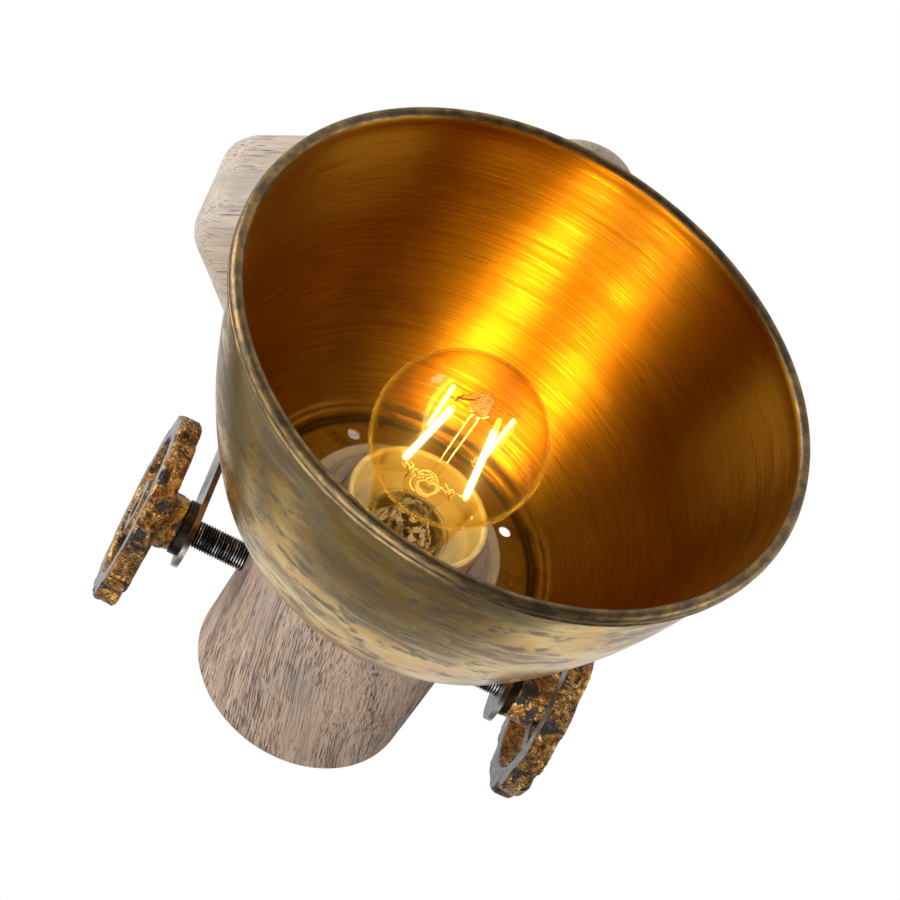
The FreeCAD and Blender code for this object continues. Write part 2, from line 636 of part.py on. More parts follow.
body, f = turned("cup_gland", [
    ("gland_bore_rad", "cup_back - gland_flange_high"), ("gland_flange_rad - 1.5", "cup_back - gland_flange_high"),
    ("gland_flange_rad", "cup_back - gland_flange_high + 1.5"), ("gland_flange_rad", "cup_back"),
    ("gland_stem_rad", "cup_back"), ("gland_stem_rad", "gland_stem_end"), ("gland_bore_rad", "gland_stem_end")])
keep("cup_lead_gland", body, HEAD_AT)
gn = cut("gland_nut_cut", hexagon("gland_nut_hex", "nut_flats", "4", (0, 0, "cup_chamber_floor")),
         cylinder("gland_nut_bore", "gland_stem_rad + 0.03", "6", (0, 0, "cup_chamber_floor - 1")))
keep("cup_gland_nut", gn, HEAD_AT)

# ================================================================ clamps
def side_at(sign, turn=0):
    return HEAD_AT * Pl(V(0, 0, 0), Rot(V(0, 0, 1), V(sign, 0, 0)) * Rot(V(0, 0, 1), turn))


for side, sign in (("left", -1), ("right", 1)):
    keep("clamp_washer_" + side,
         washer("clamp_washer_" + side, "clamp_start", "clamp_washer_rad", "clamp_washer_high", "rod_clear_rad"),
         side_at(sign))

# Handwheel, in its own frame: z runs outwards along the rod from the hub's inner end.
for side, sign, turn in (("left", -1, 15), ("right", 1, 30)):
    body = new_body("handwheel_" + side + "_body")
    n = "wheel_" + side
    sk = new_sketch(body, n + "_rim_circles", "XY_Plane", "wheel_start + wheel_rim_low")
    ring(sk, "0", "0", "wheel_rim_rad")
    ring(sk, "0", "0", "wheel_rim_in")
    f = pad(body, n + "_rim", sk, "wheel_hub_long - wheel_rim_low")
    sk = new_sketch(body, n + "_scallop_circle", "XY_Plane", "wheel_start")
    ring(sk, "wheel_scallop_ring", "0", "wheel_scallop_rad")
    f = pocket(body, n + "_scallop", sk, reverse=True)
    f = polar(body, n + "_scallops", f, "wheel_lobes")
    sk = new_sketch(body, n + "_spoke_outline", "XY_Plane", "wheel_start + wheel_spoke_low")
    sw = "wheel_spoke_wide / 2"
    outline(sk, [("7", "0 - " + sw), ("wheel_rim_in + 2", "0 - " + sw), ("wheel_rim_in + 2", sw), ("7", sw)])
    f = pad(body, n + "_spoke", sk, "wheel_spoke_high")
    f = polar(body, n + "_spokes", f, "wheel_spokes")
    sk = new_sketch(body, n + "_hub_section", "XZ_Plane")
    outline(sk, [("5.5", "wheel_start"), ("wheel_hub_small", "wheel_start"),
                 ("wheel_hub_big", "wheel_start + wheel_rim_low"), ("wheel_hub_big", "wheel_start + wheel_hub_long"),
                 ("5.5", "wheel_start + wheel_hub_long")])
    f = revolve(body, n + "_hub", sk)
    # the hub's core is filled before the bore, so that the spokes' roots merge with it
    sk = new_sketch(body, n + "_core_circle", "XY_Plane", "wheel_start")
    ring(sk, "0", "0", "8")
    f = pad(body, n + "_core", sk, "wheel_hub_long")
    sk = new_sketch(body, n + "_bore_circle", "XY_Plane", "wheel_start - 1")
    ring(sk, "0", "0", "wheel_bore_rad")
    f = pocket(body, n + "_bore", sk, reverse=True)
    body.Tip = f
    keep("handwheel_" + side, body, side_at(sign, turn))

# ================================================================ bulb
ZC, BR, BW = D("bulb_centre"), D("bulb_rad"), D("bulb_wall")
JOIN = math.radians(-28)          # where the pear-shaped neck runs into the globe
NECK = [(12.4, 52.6), (13.9, 56.0), (14.7, 60.5), (16.9, 67.5), (20.4, 74.6)]

body = new_body("bulb_glass_body")
sk = new_sketch(body, "glass_section", "XZ_Plane")
ends = []
for r, line in ((BR, NECK), (BR - BW, [(x - BW * (1.0 if k < 2 else 1.1), z) for k, (x, z) in enumerate(NECK)])):
    join = (r * math.cos(JOIN), ZC + r * math.sin(JOIN))
    c = Part.BSplineCurve()
    c.interpolate(Points=[V(x, z, 0) for x, z in line] + [V(*join, 0)],
                  InitialTangent=V(0.2, 1, 0), FinalTangent=V(-math.sin(JOIN), math.cos(JOIN), 0))
    sk.addGeometry(c)
    sk.addGeometry(Part.ArcOfCircle(Part.Circle(V(0, ZC, 0), V(0, 0, 1), r), JOIN, math.pi / 2))
    sk.addGeometry(Part.LineSegment(V(line[0][0], 45, 0), V(*line[0], 0)))
    ends.append((line[0][0], ZC + r))
sk.addGeometry(Part.LineSegment(V(ends[0][0], 45, 0), V(ends[1][0], 45, 0)))
sk.addGeometry(Part.LineSegment(V(0, ends[0][1], 0), V(0, ends[1][1], 0)))
f = revolve(body, "glass_blowing", sk)
keep("bulb_glass", body, HEAD_AT)

body, f = turned("bulb_cap_body", [
    ("cap_in_rad", "cap_low"), ("cap_rad", "cap_low"), ("cap_rad", "cap_top - 1"), ("cap_rad + 0.25", "cap_top"),
    ("cap_in_rad", "cap_top")])
keep("bulb_cap", body, HEAD_AT)
body, f = turned("bulb_insulator_body", [
    ("0", "tip_low + tip_high - 1.2"), ("tip_rad + 1.2", "tip_low + tip_high - 1.2"), ("11.2", "cap_low - 0.6"),
    ("12.4", "cap_low + 0.2"), ("12.4", "cap_low + 2.2"), ("0", "cap_low + 2.2")])
keep("bulb_insulator", body, HEAD_AT)
body, f = turned("bulb_tip_body", [
    ("0", "tip_low"), ("2.6", "tip_low"), ("tip_rad", "tip_low + 1.0"), ("tip_rad", "tip_low + tip_high - 1.3"),
    ("0", "tip_low + tip_high - 1.3")])
keep("bulb_tip", body, HEAD_AT)

# glass mount: flared tube in the neck, press, centre rod and top bead
body, f = turned("bulb_stem_body", [
    ("0", "46"), ("11.5", "46"), ("9.6", "49"), ("6.2", "56"), ("5.2", "64"), ("5.6", "70"), ("3.6", "74"),
    ("stem_rod_rad", "76"), ("stem_rod_rad", "116"), ("3.2", "117.6"), ("3.6", "119.6"), ("2.4", "121.4"),
    ("0", "122")])
# the tube's upper end is pinched flat round the lead wires
blade = [box("press_plate", "12", "4.4", "6", (-6, -2.2, 69)), cylinder("press_end_far", "2.2", "6", (6, 0, 69)),
         cylinder("press_end_near", "2.2", "6", (-6, 0, 69))]
keep("bulb_stem", fuse("bulb_stem_glass", body, *blade), HEAD_AT)


def rod_between(name, r, p, q):
    p, q = V(*p), V(*q)
    return cylinder(name, r, "%.3f" % (q - p).Length, tuple(p), tuple((q - p).normalize()))


STRIPS = [((-12.9, 3.8, 76.0), (-8.8, 5.7, 107.0)), ((11.1, -0.7, 76.0), (7.0, 9.0, 108.0)),
          ((-10.3, 16.1, 83.0), (-11.6, 11.0, 110.0)), ((11.9, 15.3, 83.0), (11.6, 11.5, 108.0))]
strips = [rod_between("strip_%d" % k, "strip_rad", p, q) for k, (p, q) in enumerate(STRIPS)]
keep("filaments", group("filaments_set", *strips), HEAD_AT)
wires = []
for k, (p, q) in enumerate(STRIPS):
    out = V(*p)
    root = V(math.copysign(7.4 if k < 2 else 5.0, p[0]), 0.3 if k < 2 else 1.0, 74.2)
    d_ = (out - root).normalize()
    wires.append(rod_between("wire_low_%d" % k, "wire_rad", tuple(root), tuple(out - d_ * 0.2)))
    top = V(q[0], q[1], 0)
    top = top * (3.2 / top.Length) + V(0, 0, 119.0)
    end = V(*q) + V(0, 0, 0.3)
    wires.append(rod_between("wire_top_%d" % k, "wire_rad", tuple(top), tuple(end)))
keep("lead_wires", group("lead_wires_set", *wires), HEAD_AT)

# ---------------------------------------------------------------- check and write
doc.recompute()
bad = [o.Name for o in doc.Objects if "Invalid" in o.State or "Error" in o.State]
if bad:
    raise RuntimeError("failed objects: " + ", ".join(bad))
os.makedirs("parts", exist_ok=True)
for name, obj in NODES.items():
    s = obj.Shape
    if s.isNull() or not s.isValid() or not s.Solids:
        raise RuntimeError("bad shape: " + name)
for name, obj in NODES.items():
    s = obj.Shape
    b = s.BoundBox
    print("%-22s solids %d  vol %9.1f  x %7.1f %7.1f  y %7.1f %7.1f  z %7.1f %7.1f" % (
        name, len(s.Solids), s.Volume, b.XMin, b.XMax, b.YMin, b.YMax, b.ZMin, b.ZMax))
    s.exportStep("parts/%s.step" % name)
print(len(NODES), "nodes")
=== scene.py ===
import math

import bmesh
import bpy
import numpy as np
from mathutils import Matrix, Vector, noise


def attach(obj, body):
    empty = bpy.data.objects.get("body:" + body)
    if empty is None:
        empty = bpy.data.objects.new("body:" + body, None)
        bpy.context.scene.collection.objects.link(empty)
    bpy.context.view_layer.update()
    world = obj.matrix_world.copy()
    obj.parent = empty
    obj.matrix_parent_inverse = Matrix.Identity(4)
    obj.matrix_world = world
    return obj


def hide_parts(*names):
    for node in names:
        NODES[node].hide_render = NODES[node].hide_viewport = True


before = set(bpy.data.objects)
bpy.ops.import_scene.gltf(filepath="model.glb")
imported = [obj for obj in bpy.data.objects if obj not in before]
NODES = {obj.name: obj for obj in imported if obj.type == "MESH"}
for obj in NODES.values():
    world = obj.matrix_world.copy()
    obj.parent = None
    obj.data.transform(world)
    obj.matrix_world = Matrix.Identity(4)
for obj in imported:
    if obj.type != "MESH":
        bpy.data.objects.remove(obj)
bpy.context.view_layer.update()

scene = bpy.context.scene
MM = 0.001
rad = math.radians

# ------------------------------------------------------------------ frames of the moving bodies, at rest
ROOT = Matrix.Identity(4)
YOKE = Matrix.Rotation(rad(38), 4, "Z")
HEAD = Matrix.Translation((0, 0, -0.158)) @ Matrix.Rotation(rad(38), 4, "Z") @ Matrix.Rotation(rad(83.5), 4, "X")


def side(sign, turn=0.0):
    """Frame whose +Z runs outwards along the rod, on the left (-1) or right (+1)."""
    return HEAD @ Matrix.Rotation(rad(90 * sign), 4, "Y") @ Matrix.Rotation(rad(turn), 4, "Z")


# ------------------------------------------------------------------ mesh helpers (all lengths in mm until link())
def link(name, me, matrix, body, *nodes, slot=None, sharp=35.0):
    ob = bpy.data.objects.new(name, me)
    scene.collection.objects.link(ob)
    ob.matrix_world = matrix
    for p in me.polygons:
        p.use_smooth = True
    if sharp is not None:
        me.set_sharp_from_angle(angle=rad(sharp))
    bpy.context.view_layer.update()
    if nodes:
        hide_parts(*nodes)
    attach(ob, body)
    return ob


def to_mesh(bm, name, scale=MM):
    bmesh.ops.remove_doubles(bm, verts=bm.verts, dist=1e-5)
    bmesh.ops.recalc_face_normals(bm, faces=bm.faces)
    if scale != 1:
        bmesh.ops.scale(bm, vec=(scale,) * 3, verts=bm.verts)
    me = bpy.data.meshes.new(name)
    bm.to_mesh(me)
    bm.free()
    return me


def corner(points, closed=True, steps=5):
    """Polyline (x, y[, radius]) with its corners rounded by arcs."""
    out = []
    n = len(points)
    for i, p in enumerate(points):
        r = p[2] if len(p) > 2 else 0.0
        if r <= 0 or (not closed and i in (0, n - 1)):
            out.append((p[0], p[1]))
            continue
        P, A, B = Vector(p[:2]), Vector(points[i - 1][:2]), Vector(points[(i + 1) % n][:2])
        u, v = (A - P).normalized(), (B - P).normalized()
        ang = u.angle(v)
        if ang > rad(179):
            out.append((p[0], p[1]))
            continue
        d = r / math.tan(ang / 2)
        d = min(d, (A - P).length * 0.49, (B - P).length * 0.49)
        r = d * math.tan(ang / 2)
        c = P + (u + v).normalized() * (r / math.sin(ang / 2))
        a, b = P + u * d - c, P + v * d - c
        turn = a.angle_signed(b)
        for k in range(steps + 1):
            t = -turn * k / steps
            out.append((c.x + a.x * math.cos(t) - a.y * math.sin(t), c.y + a.x * math.sin(t) + a.y * math.cos(t)))
    return out


def curve_through(points, step):
    """Centripetal Catmull-Rom through (x, y) points, sampled about every step."""
    P = [Vector(p) for p in points]
    P = [P[0] * 2 - P[1]] + P + [P[-1] * 2 - P[-2]]
    out = [tuple(P[1])]
    for i in range(1, len(P) - 2):
        p0, p1, p2, p3 = P[i - 1:i + 3]
        t0 = 0.0
        t1 = t0 + (p1 - p0).length ** 0.5
        t2 = t1 + (p2 - p1).length ** 0.5
        t3 = t2 + (p3 - p2).length ** 0.5
        n = max(1, int(round((p2 - p1).length / step)))
        for k in range(1, n + 1):
            t = t1 + (t2 - t1) * k / n
            a1 = p0 * ((t1 - t) / (t1 - t0)) + p1 * ((t - t0) / (t1 - t0))
            a2 = p1 * ((t2 - t) / (t2 - t1)) + p2 * ((t - t1) / (t2 - t1))
            a3 = p2 * ((t3 - t) / (t3 - t2)) + p3 * ((t - t2) / (t3 - t2))
            b1 = a1 * ((t2 - t) / (t2 - t0)) + a2 * ((t - t0) / (t2 - t0))
            b2 = a2 * ((t3 - t) / (t3 - t1)) + a3 * ((t - t1) / (t3 - t1))
            out.append(tuple(b1 * ((t2 - t) / (t2 - t1)) + b2 * ((t - t1) / (t2 - t1))))
    return out


def lathe_bm(profile, n=128, closed=True, bm=None, shift=None):
    """Turns (radius, height) points about Z. shift(angle, r, z) may move a point to (r, z)."""
    bm = bm or bmesh.new()
    rings = []
    for r, z in profile:
        if r < 1e-6:
            rings.append([bm.verts.new((0, 0, z))] * n)
            continue
        ring = []
        for k in range(n):
            a = 2 * math.pi * k / n
            rr, zz = shift(a, r, z) if shift else (r, z)
            ring.append(bm.verts.new((rr * math.cos(a), rr * math.sin(a), zz)))
        rings.append(ring)
    m = len(rings)
    for i in range(m if closed else m - 1):
        A, B = rings[i], rings[(i + 1) % m]
        if A[0] is A[1] and B[0] is B[1]:
            continue
        for k in range(n):
            q = []
            for v in (A[k], A[(k + 1) % n], B[(k + 1) % n], B[k]):
                if v not in q:
                    q.append(v)
            if len(q) > 2:
                bm.faces.new(q)
    return bm


def lathe(name, profile, matrix, body, *nodes, n=128, closed=True, shift=None, slot=None, sharp=35.0):
    return link(name, to_mesh(lathe_bm(profile, n, closed, shift=shift), name), matrix, body, *nodes, slot=slot, sharp=sharp)


def temp(me, matrix=ROOT):
    ob = bpy.data.objects.new("temp", me)
    scene.collection.objects.link(ob)
    ob.matrix_world = matrix
    return ob


def baked(ob):
    """Mesh of an object with its modifiers applied."""
    dg = bpy.context.evaluated_depsgraph_get()
    me = bpy.data.meshes.new_from_object(ob.evaluated_get(dg))
    return me


def drop(*obs):
    for o in obs:
        me = o.data
        bpy.data.objects.remove(o)
        if me and me.users == 0:
            bpy.data.meshes.remove(me)


def boolean(me, cutters, operation="DIFFERENCE", solver="EXACT"):
    """me less (or joined with) each of the cutter meshes, in the same units and frame."""
    base = temp(me)
    others = []
    for c in cutters:
        o = temp(c)
        m = base.modifiers.new("b", "BOOLEAN")
        m.operation, m.object, m.solver = operation, o, solver
        others.append(o)
    bpy.context.view_layer.update()
    out = baked(base)
    out.name = me.name
    drop(base, *others)
    return out


def rod_mesh(r, a, b, n=32, name="rod"):
    """Closed cylinder of radius r from point a to b, in mm."""
    bm = bmesh.new()
    a, b = Vector(a), Vector(b)
    q = Vector((0, 0, 1)).rotation_difference(b - a).to_matrix()
    rings = []
    for p in (a, b):
        rings.append([bm.verts.new(p + q @ Vector((r * math.cos(2 * math.pi * k / n), r * math.sin(2 * math.pi * k / n), 0)))
                      for k in range(n)])
    for k in range(n):
        bm.faces.new((rings[0][k], rings[0][(k + 1) % n], rings[1][(k + 1) % n], rings[1][k]))
    bm.faces.new(rings[0][::-1])
    bm.faces.new(rings[1])
    return to_mesh(bm, name)


def box_mesh(lo, hi, name="box", matrix=None):
    bm = bmesh.new()
    bmesh.ops.create_cube(bm, size=1)
    for v in bm.verts:
        v.co = Vector([lo[k] + (hi[k] - lo[k]) * (v.co[k] + 0.5) for k in range(3)])
    if matrix is not None:
        bm.transform(matrix)
    return to_mesh(bm, name)


def tube_along(points, r, n=10, taper=None, bm=None):
    """Tube mesh along a polyline of points in mm; taper(t) scales the radius."""
    bm = bm or bmesh.new()
    P = [Vector(p) for p in points]
    prev = None
    rings = []
    for i, p in enumerate(P):
        d = (P[min(i + 1, len(P) - 1)] - P[max(i - 1, 0)]).normalized()
        if prev is None:
            u = d.orthogonal().normalized()
        else:
            u = (prev - d * prev.dot(d)).normalized()
        prev = u
        w = d.cross(u)
        k = taper(i / (len(P) - 1)) if taper else 1.0
        rings.append([bm.verts.new(p + (u * math.cos(2 * math.pi * j / n) + w * math.sin(2 * math.pi * j / n)) * r * k)
                      for j in range(n)])
    for i in range(len(P) - 1):
        for j in range(n):
            bm.faces.new((rings[i][j], rings[i][(j + 1) % n], rings[i + 1][(j + 1) % n], rings[i + 1][j]))
    bm.faces.new(rings[0][::-1])
    bm.faces.new(rings[-1])
    return bm


def bend_through(points, step=0.4):
    """3-D Catmull-Rom through points in mm."""
    P = [Vector(p) for p in points]
    P = [P[0] * 2 - P[1]] + P + [P[-1] * 2 - P[-2]]
    out = [P[1]]
    for i in range(1, len(P) - 2):
        n = max(2, int((P[i + 1] - P[i]).length / step))
        for k in range(1, n + 1):
            t = k / n
            a, b, c, d = P[i - 1:i + 3]
            out.append(0.5 * (2 * b + (c - a) * t + (2 * a - 5 * b + 4 * c - d) * t * t + (3 * b - a - 3 * c + d) * t ** 3))
    return out


# ------------------------------------------------------------------ material helpers
class Mat:
    def __init__(self, name):
        self.m = bpy.data.materials.new(name)
        self.m.use_nodes = True
        self.t = self.m.node_tree
        self.t.nodes.clear()
        self.out = self.t.nodes.new("ShaderNodeOutputMaterial")

    def node(self, kind, **props):
        n = self.t.nodes.new(kind)
        for k, v in props.items():
            setattr(n, k, v)
        return n

    def plug(self, a, b):
        self.t.links.new(a, b)

    def set(self, sock, value):
        if hasattr(value, "is_output") or isinstance(value, bpy.types.NodeSocket):
            self.plug(value, sock)
        else:
            sock.default_value = value

    def coords(self, frame_=None, kind="Object"):
        """Object coordinates in mm, taken into frame_ when the mesh is in the row frame."""
        tc = self.node("ShaderNodeTexCoord")
        v = tc.outputs[kind]
        if frame_ is not None:
            m = self.node("ShaderNodeMapping", vector_type="TEXTURE")
            m.inputs["Location"].default_value = frame_.to_translation()
            m.inputs["Rotation"].default_value = frame_.to_euler()
            self.plug(v, m.inputs["Vector"])
            v = m.outputs[0]
        s = self.node("ShaderNodeVectorMath", operation="SCALE")
        self.plug(v, s.inputs[0])
        s.inputs["Scale"].default_value = 1000.0
        return s.outputs[0]

    def scaled(self, v, s, offset=(0, 0, 0)):
        m = self.node("ShaderNodeMapping")
        self.plug(v, m.inputs["Vector"])
        m.inputs["Scale"].default_value = s
        m.inputs["Location"].default_value = offset
        return m.outputs[0]

    def noise(self, v, scale=1.0, detail=4.0, rough=0.5, distort=0.0, color=False, kind=None):
        n = self.node("ShaderNodeTexNoise")
        if kind:
            n.noise_type = kind
        self.plug(v, n.inputs["Vector"])
        n.inputs["Scale"].default_value = scale
        n.inputs["Detail"].default_value = detail
        n.inputs["Roughness"].default_value = rough
        n.inputs["Distortion"].default_value = distort
        return n.outputs["Color" if color else "Fac"]

    def voronoi(self, v, scale=1.0, feature="F1", out="Distance", rand=1.0):
        n = self.node("ShaderNodeTexVoronoi", feature=feature)
        self.plug(v, n.inputs["Vector"])
        n.inputs["Scale"].default_value = scale
        n.inputs["Randomness"].default_value = rand
        return n.outputs[out]

    def math(self, op, a, b=None, c=None, clamp=False):
        n = self.node("ShaderNodeMath", operation=op, use_clamp=clamp)
        for k, v in enumerate((a, b, c)):
            if v is not None:
                self.set(n.inputs[k], v)
        return n.outputs[0]

    def ramp(self, v, lo, hi, a=0.0, b=1.0, kind="SMOOTHSTEP"):
        n = self.node("ShaderNodeMapRange", interpolation_type=kind)
        self.set(n.inputs["Value"], v)
        for k, x in (("From Min", lo), ("From Max", hi), ("To Min", a), ("To Max", b)):
            self.set(n.inputs[k], x)
        return n.outputs["Result"]

    def mix(self, f, a, b, mode="MIX"):
        n = self.node("ShaderNodeMix", data_type="RGBA", blend_type=mode)
        self.set(n.inputs["Factor"], f)
        for k, v in ((6, a), (7, b)):
            if isinstance(v, (tuple, list)):
                v = (*v, 1.0) if len(v) == 3 else tuple(v)
            self.set(n.inputs[k], v)
        return n.outputs[2]

    def colors(self, v, stops):
        n = self.node("ShaderNodeValToRGB")
        self.plug(v, n.inputs[0])
        e = n.color_ramp.elements
        while len(e) < len(stops):
            e.new(0.5)
        for k, (p, c) in enumerate(stops):
            e[k].position = p
            e[k].color = (*c, 1.0)
        return n.outputs[0]

    def xyz(self, v):
        n = self.node("ShaderNodeSeparateXYZ")
        self.plug(v, n.inputs[0])
        return n.outputs

    def join(self, x, y, z):
        n = self.node("ShaderNodeCombineXYZ")
        for k, v in enumerate((x, y, z)):
            self.set(n.inputs[k], v)
        return n.outputs[0]

    def bump(self, height, distance, strength=1.0, normal=None):
        n = self.node("ShaderNodeBump")
        self.set(n.inputs["Height"], height)
        n.inputs["Distance"].default_value = distance
        self.set(n.inputs["Strength"], strength)
        if normal is not None:
            self.plug(normal, n.inputs["Normal"])
        return n.outputs[0]

    def principled(self, color, rough, metal=0.0, normal=None, **more):
        p = self.node("ShaderNodeBsdfPrincipled")
        if isinstance(color, (tuple, list)):
            color = (*color, 1.0) if len(color) == 3 else tuple(color)
        self.set(p.inputs["Base Color"], color)
        self.set(p.inputs["Roughness"], rough)
        self.set(p.inputs["Metallic"], metal)
        if normal is not None:
            self.plug(normal, p.inputs["Normal"])
        for k, v in more.items():
            self.set(p.inputs[k.replace("_", " ")], v)
        self.plug(p.outputs[0], self.out.inputs["Surface"])
        return p


def wear(ob, mat, *more):
    """Puts a material (and further ones) on an object."""
    # clearing the slots also clears the faces' indices, so they are kept and put back
    kept = [f.material_index for f in ob.data.polygons] if more else []
    ob.data.materials.clear() if ob.type == "MESH" and ob.name not in NODES else None
    if ob.name in NODES or ob in NODES.values():
        if not ob.material_slots:
            ob.data.materials.append(mat.m)
        for s in ob.material_slots:
            s.link = "OBJECT"
            s.material = mat.m
        return
    for x in (mat, *more):
        ob.data.materials.append(x.m)
    for f, i in zip(ob.data.polygons, kept):
        f.material_index = i


# ------------------------------------------------------------------ materials
def wood(name, frame_, grain, pale, dark, grey, pore, seed, pore_amount=0.5, fine=1.0, turned=None):
    """Washed open-grain wood. grain is the axis (0 x, 1 y, 2 z) that the fibres run along, in frame_."""
    m = Mat(name)
    p = m.coords(frame_)
    if turned:
        # across the figure runs the arc round the axis, so that the lines stay long all round; skewed a little
        x_, y_, z_ = m.xyz(p)[:3]
        arc = m.math("MULTIPLY", m.math("ARCTAN2", x_, m.math("MULTIPLY", y_, -1.0)), turned[0])
        rad_ = m.math("SQRT", m.math("ADD", m.math("MULTIPLY", x_, x_), m.math("MULTIPLY", y_, y_)))
        p = m.join(m.math("MULTIPLY_ADD", z_, turned[1], arc), m.math("MULTIPLY", rad_, 0.45), z_)

    def stretch(along, across, off=0.0):
        s = [across] * 3
        s[grain] = along
        return m.scaled(p, s, (seed + off, seed * 0.7 - off, seed * 1.3 + off))

    # slow drift bends the fibres a little
    warp = m.noise(m.scaled(p, (0.012,) * 3, (seed, 0, 0)), 1.0, 2.0, color=True)
    add = m.node("ShaderNodeVectorMath", operation="MULTIPLY_ADD")
    m.plug(warp, add.inputs[0])
    add.inputs[1].default_value = (9.0, 9.0, 9.0)
    m.plug(p, add.inputs[2])
    p = add.outputs[0]
    bands = m.noise(stretch(0.010, 0.16), 1.0, 5.0, 0.62)
    fibre = m.noise(stretch(0.05, 2.6 * fine, 3.0), 1.0, 4.0, 0.68)
    patch = m.noise(stretch(0.020, 0.045, 7.0), 1.0, 3.0, 0.5)
    grey_patch = m.noise(stretch(0.022, 0.05, 21.0), 1.0, 4.0, 0.55)
    col = m.mix(m.ramp(bands, 0.32, 0.68), pale, dark)
    col = m.mix(m.math("MULTIPLY", m.ramp(grey_patch, 0.50, 0.70), 0.60), col, grey)
    col = m.mix(m.math("MULTIPLY", m.ramp(fibre, 0.46, 0.62), 0.12 + 0.38 * pore_amount), col, tuple(0.55 * c for c in dark))
    col = m.mix(m.math("MULTIPLY", m.ramp(fibre, 0.46, 0.32), 0.15 + 0.30 * pore_amount), col, tuple(min(1.0, 1.25 * c) for c in pale))
    # long open fibre lines, and short dark pores that are denser in some bands than in others
    dens = m.ramp(m.noise(stretch(0.014, 0.07, 11.0), 1.0, 3.0), 0.36, 0.64)
    line = m.noise(stretch(0.017 * fine, 1.30 * fine, 71.0), 1.0, 0.6, 0.4)
    lines = m.math("MULTIPLY", m.ramp(line, 0.640 - 0.075 * pore_amount, 0.70 - 0.075 * pore_amount), m.ramp(dens, 0.0, 1.0, 0.45, 1.0))
    po = m.noise(stretch(0.085 * fine, 2.2 * fine, 31.0), 1.0, 0.6, 0.2)
    lim = m.ramp(dens, 0.0, 1.0, 0.73, 0.73 - 0.13 * pore_amount, "LINEAR")
    pores = m.ramp(m.math("SUBTRACT", po, lim), 0.0, 0.05)
    both = m.math("MAXIMUM", pores, m.math("MULTIPLY", lines, 0.55 + 0.25 * pore_amount))
    col = m.mix(m.math("MULTIPLY", both, 0.90), col, pore)
    rough = m.ramp(patch, 0.3, 0.7, 0.62, 0.82)
    h = m.math("MULTIPLY_ADD", both, -1.0, m.math("MULTIPLY", fibre, 0.45))
    nrm = m.bump(h, 0.00030, 0.85)
    nrm = m.bump(bands, 0.0006, 0.35, nrm)
    m.principled(col, rough, 0.0, nrm, Specular_IOR_Level=0.32)
    return m, col, both


def plain_metal(name, color, rough, frame_=None, grain=(0.6, 0.6, 0.6), amount=0.18, metal=1.0, spots=None, seed=0.0,
                bump=0.00003, **more):
    m = Mat(name)
    p = m.coords(frame_)
    g = m.noise(m.scaled(p, grain, (seed, seed, seed)), 1.0, 5.0, 0.6)
    b = m.noise(m.scaled(p, (0.09,) * 3, (seed, 3, 1)), 1.0, 3.0, 0.5)
    col = m.mix(m.math("MULTIPLY", m.ramp(g, 0.3, 0.7), amount), color, tuple(c * 0.55 for c in color))
    col = m.mix(m.math("MULTIPLY", m.ramp(b, 0.35, 0.7), amount), col, tuple(min(1, c * 1.35) for c in color))
    if spots:
        s = m.noise(m.scaled(p, (0.7,) * 3, (seed + 9, 2, 4)), 1.0, 4.0, 0.6)
        col = m.mix(m.ramp(s, spots[0], spots[0] + 0.07), col, spots[1])
    r = m.ramp(g, 0.25, 0.75, max(rough - 0.08, 0.03), rough + 0.1)
    m.principled(col, r, metal, m.bump(g, bump, 0.6), **more)
    return m


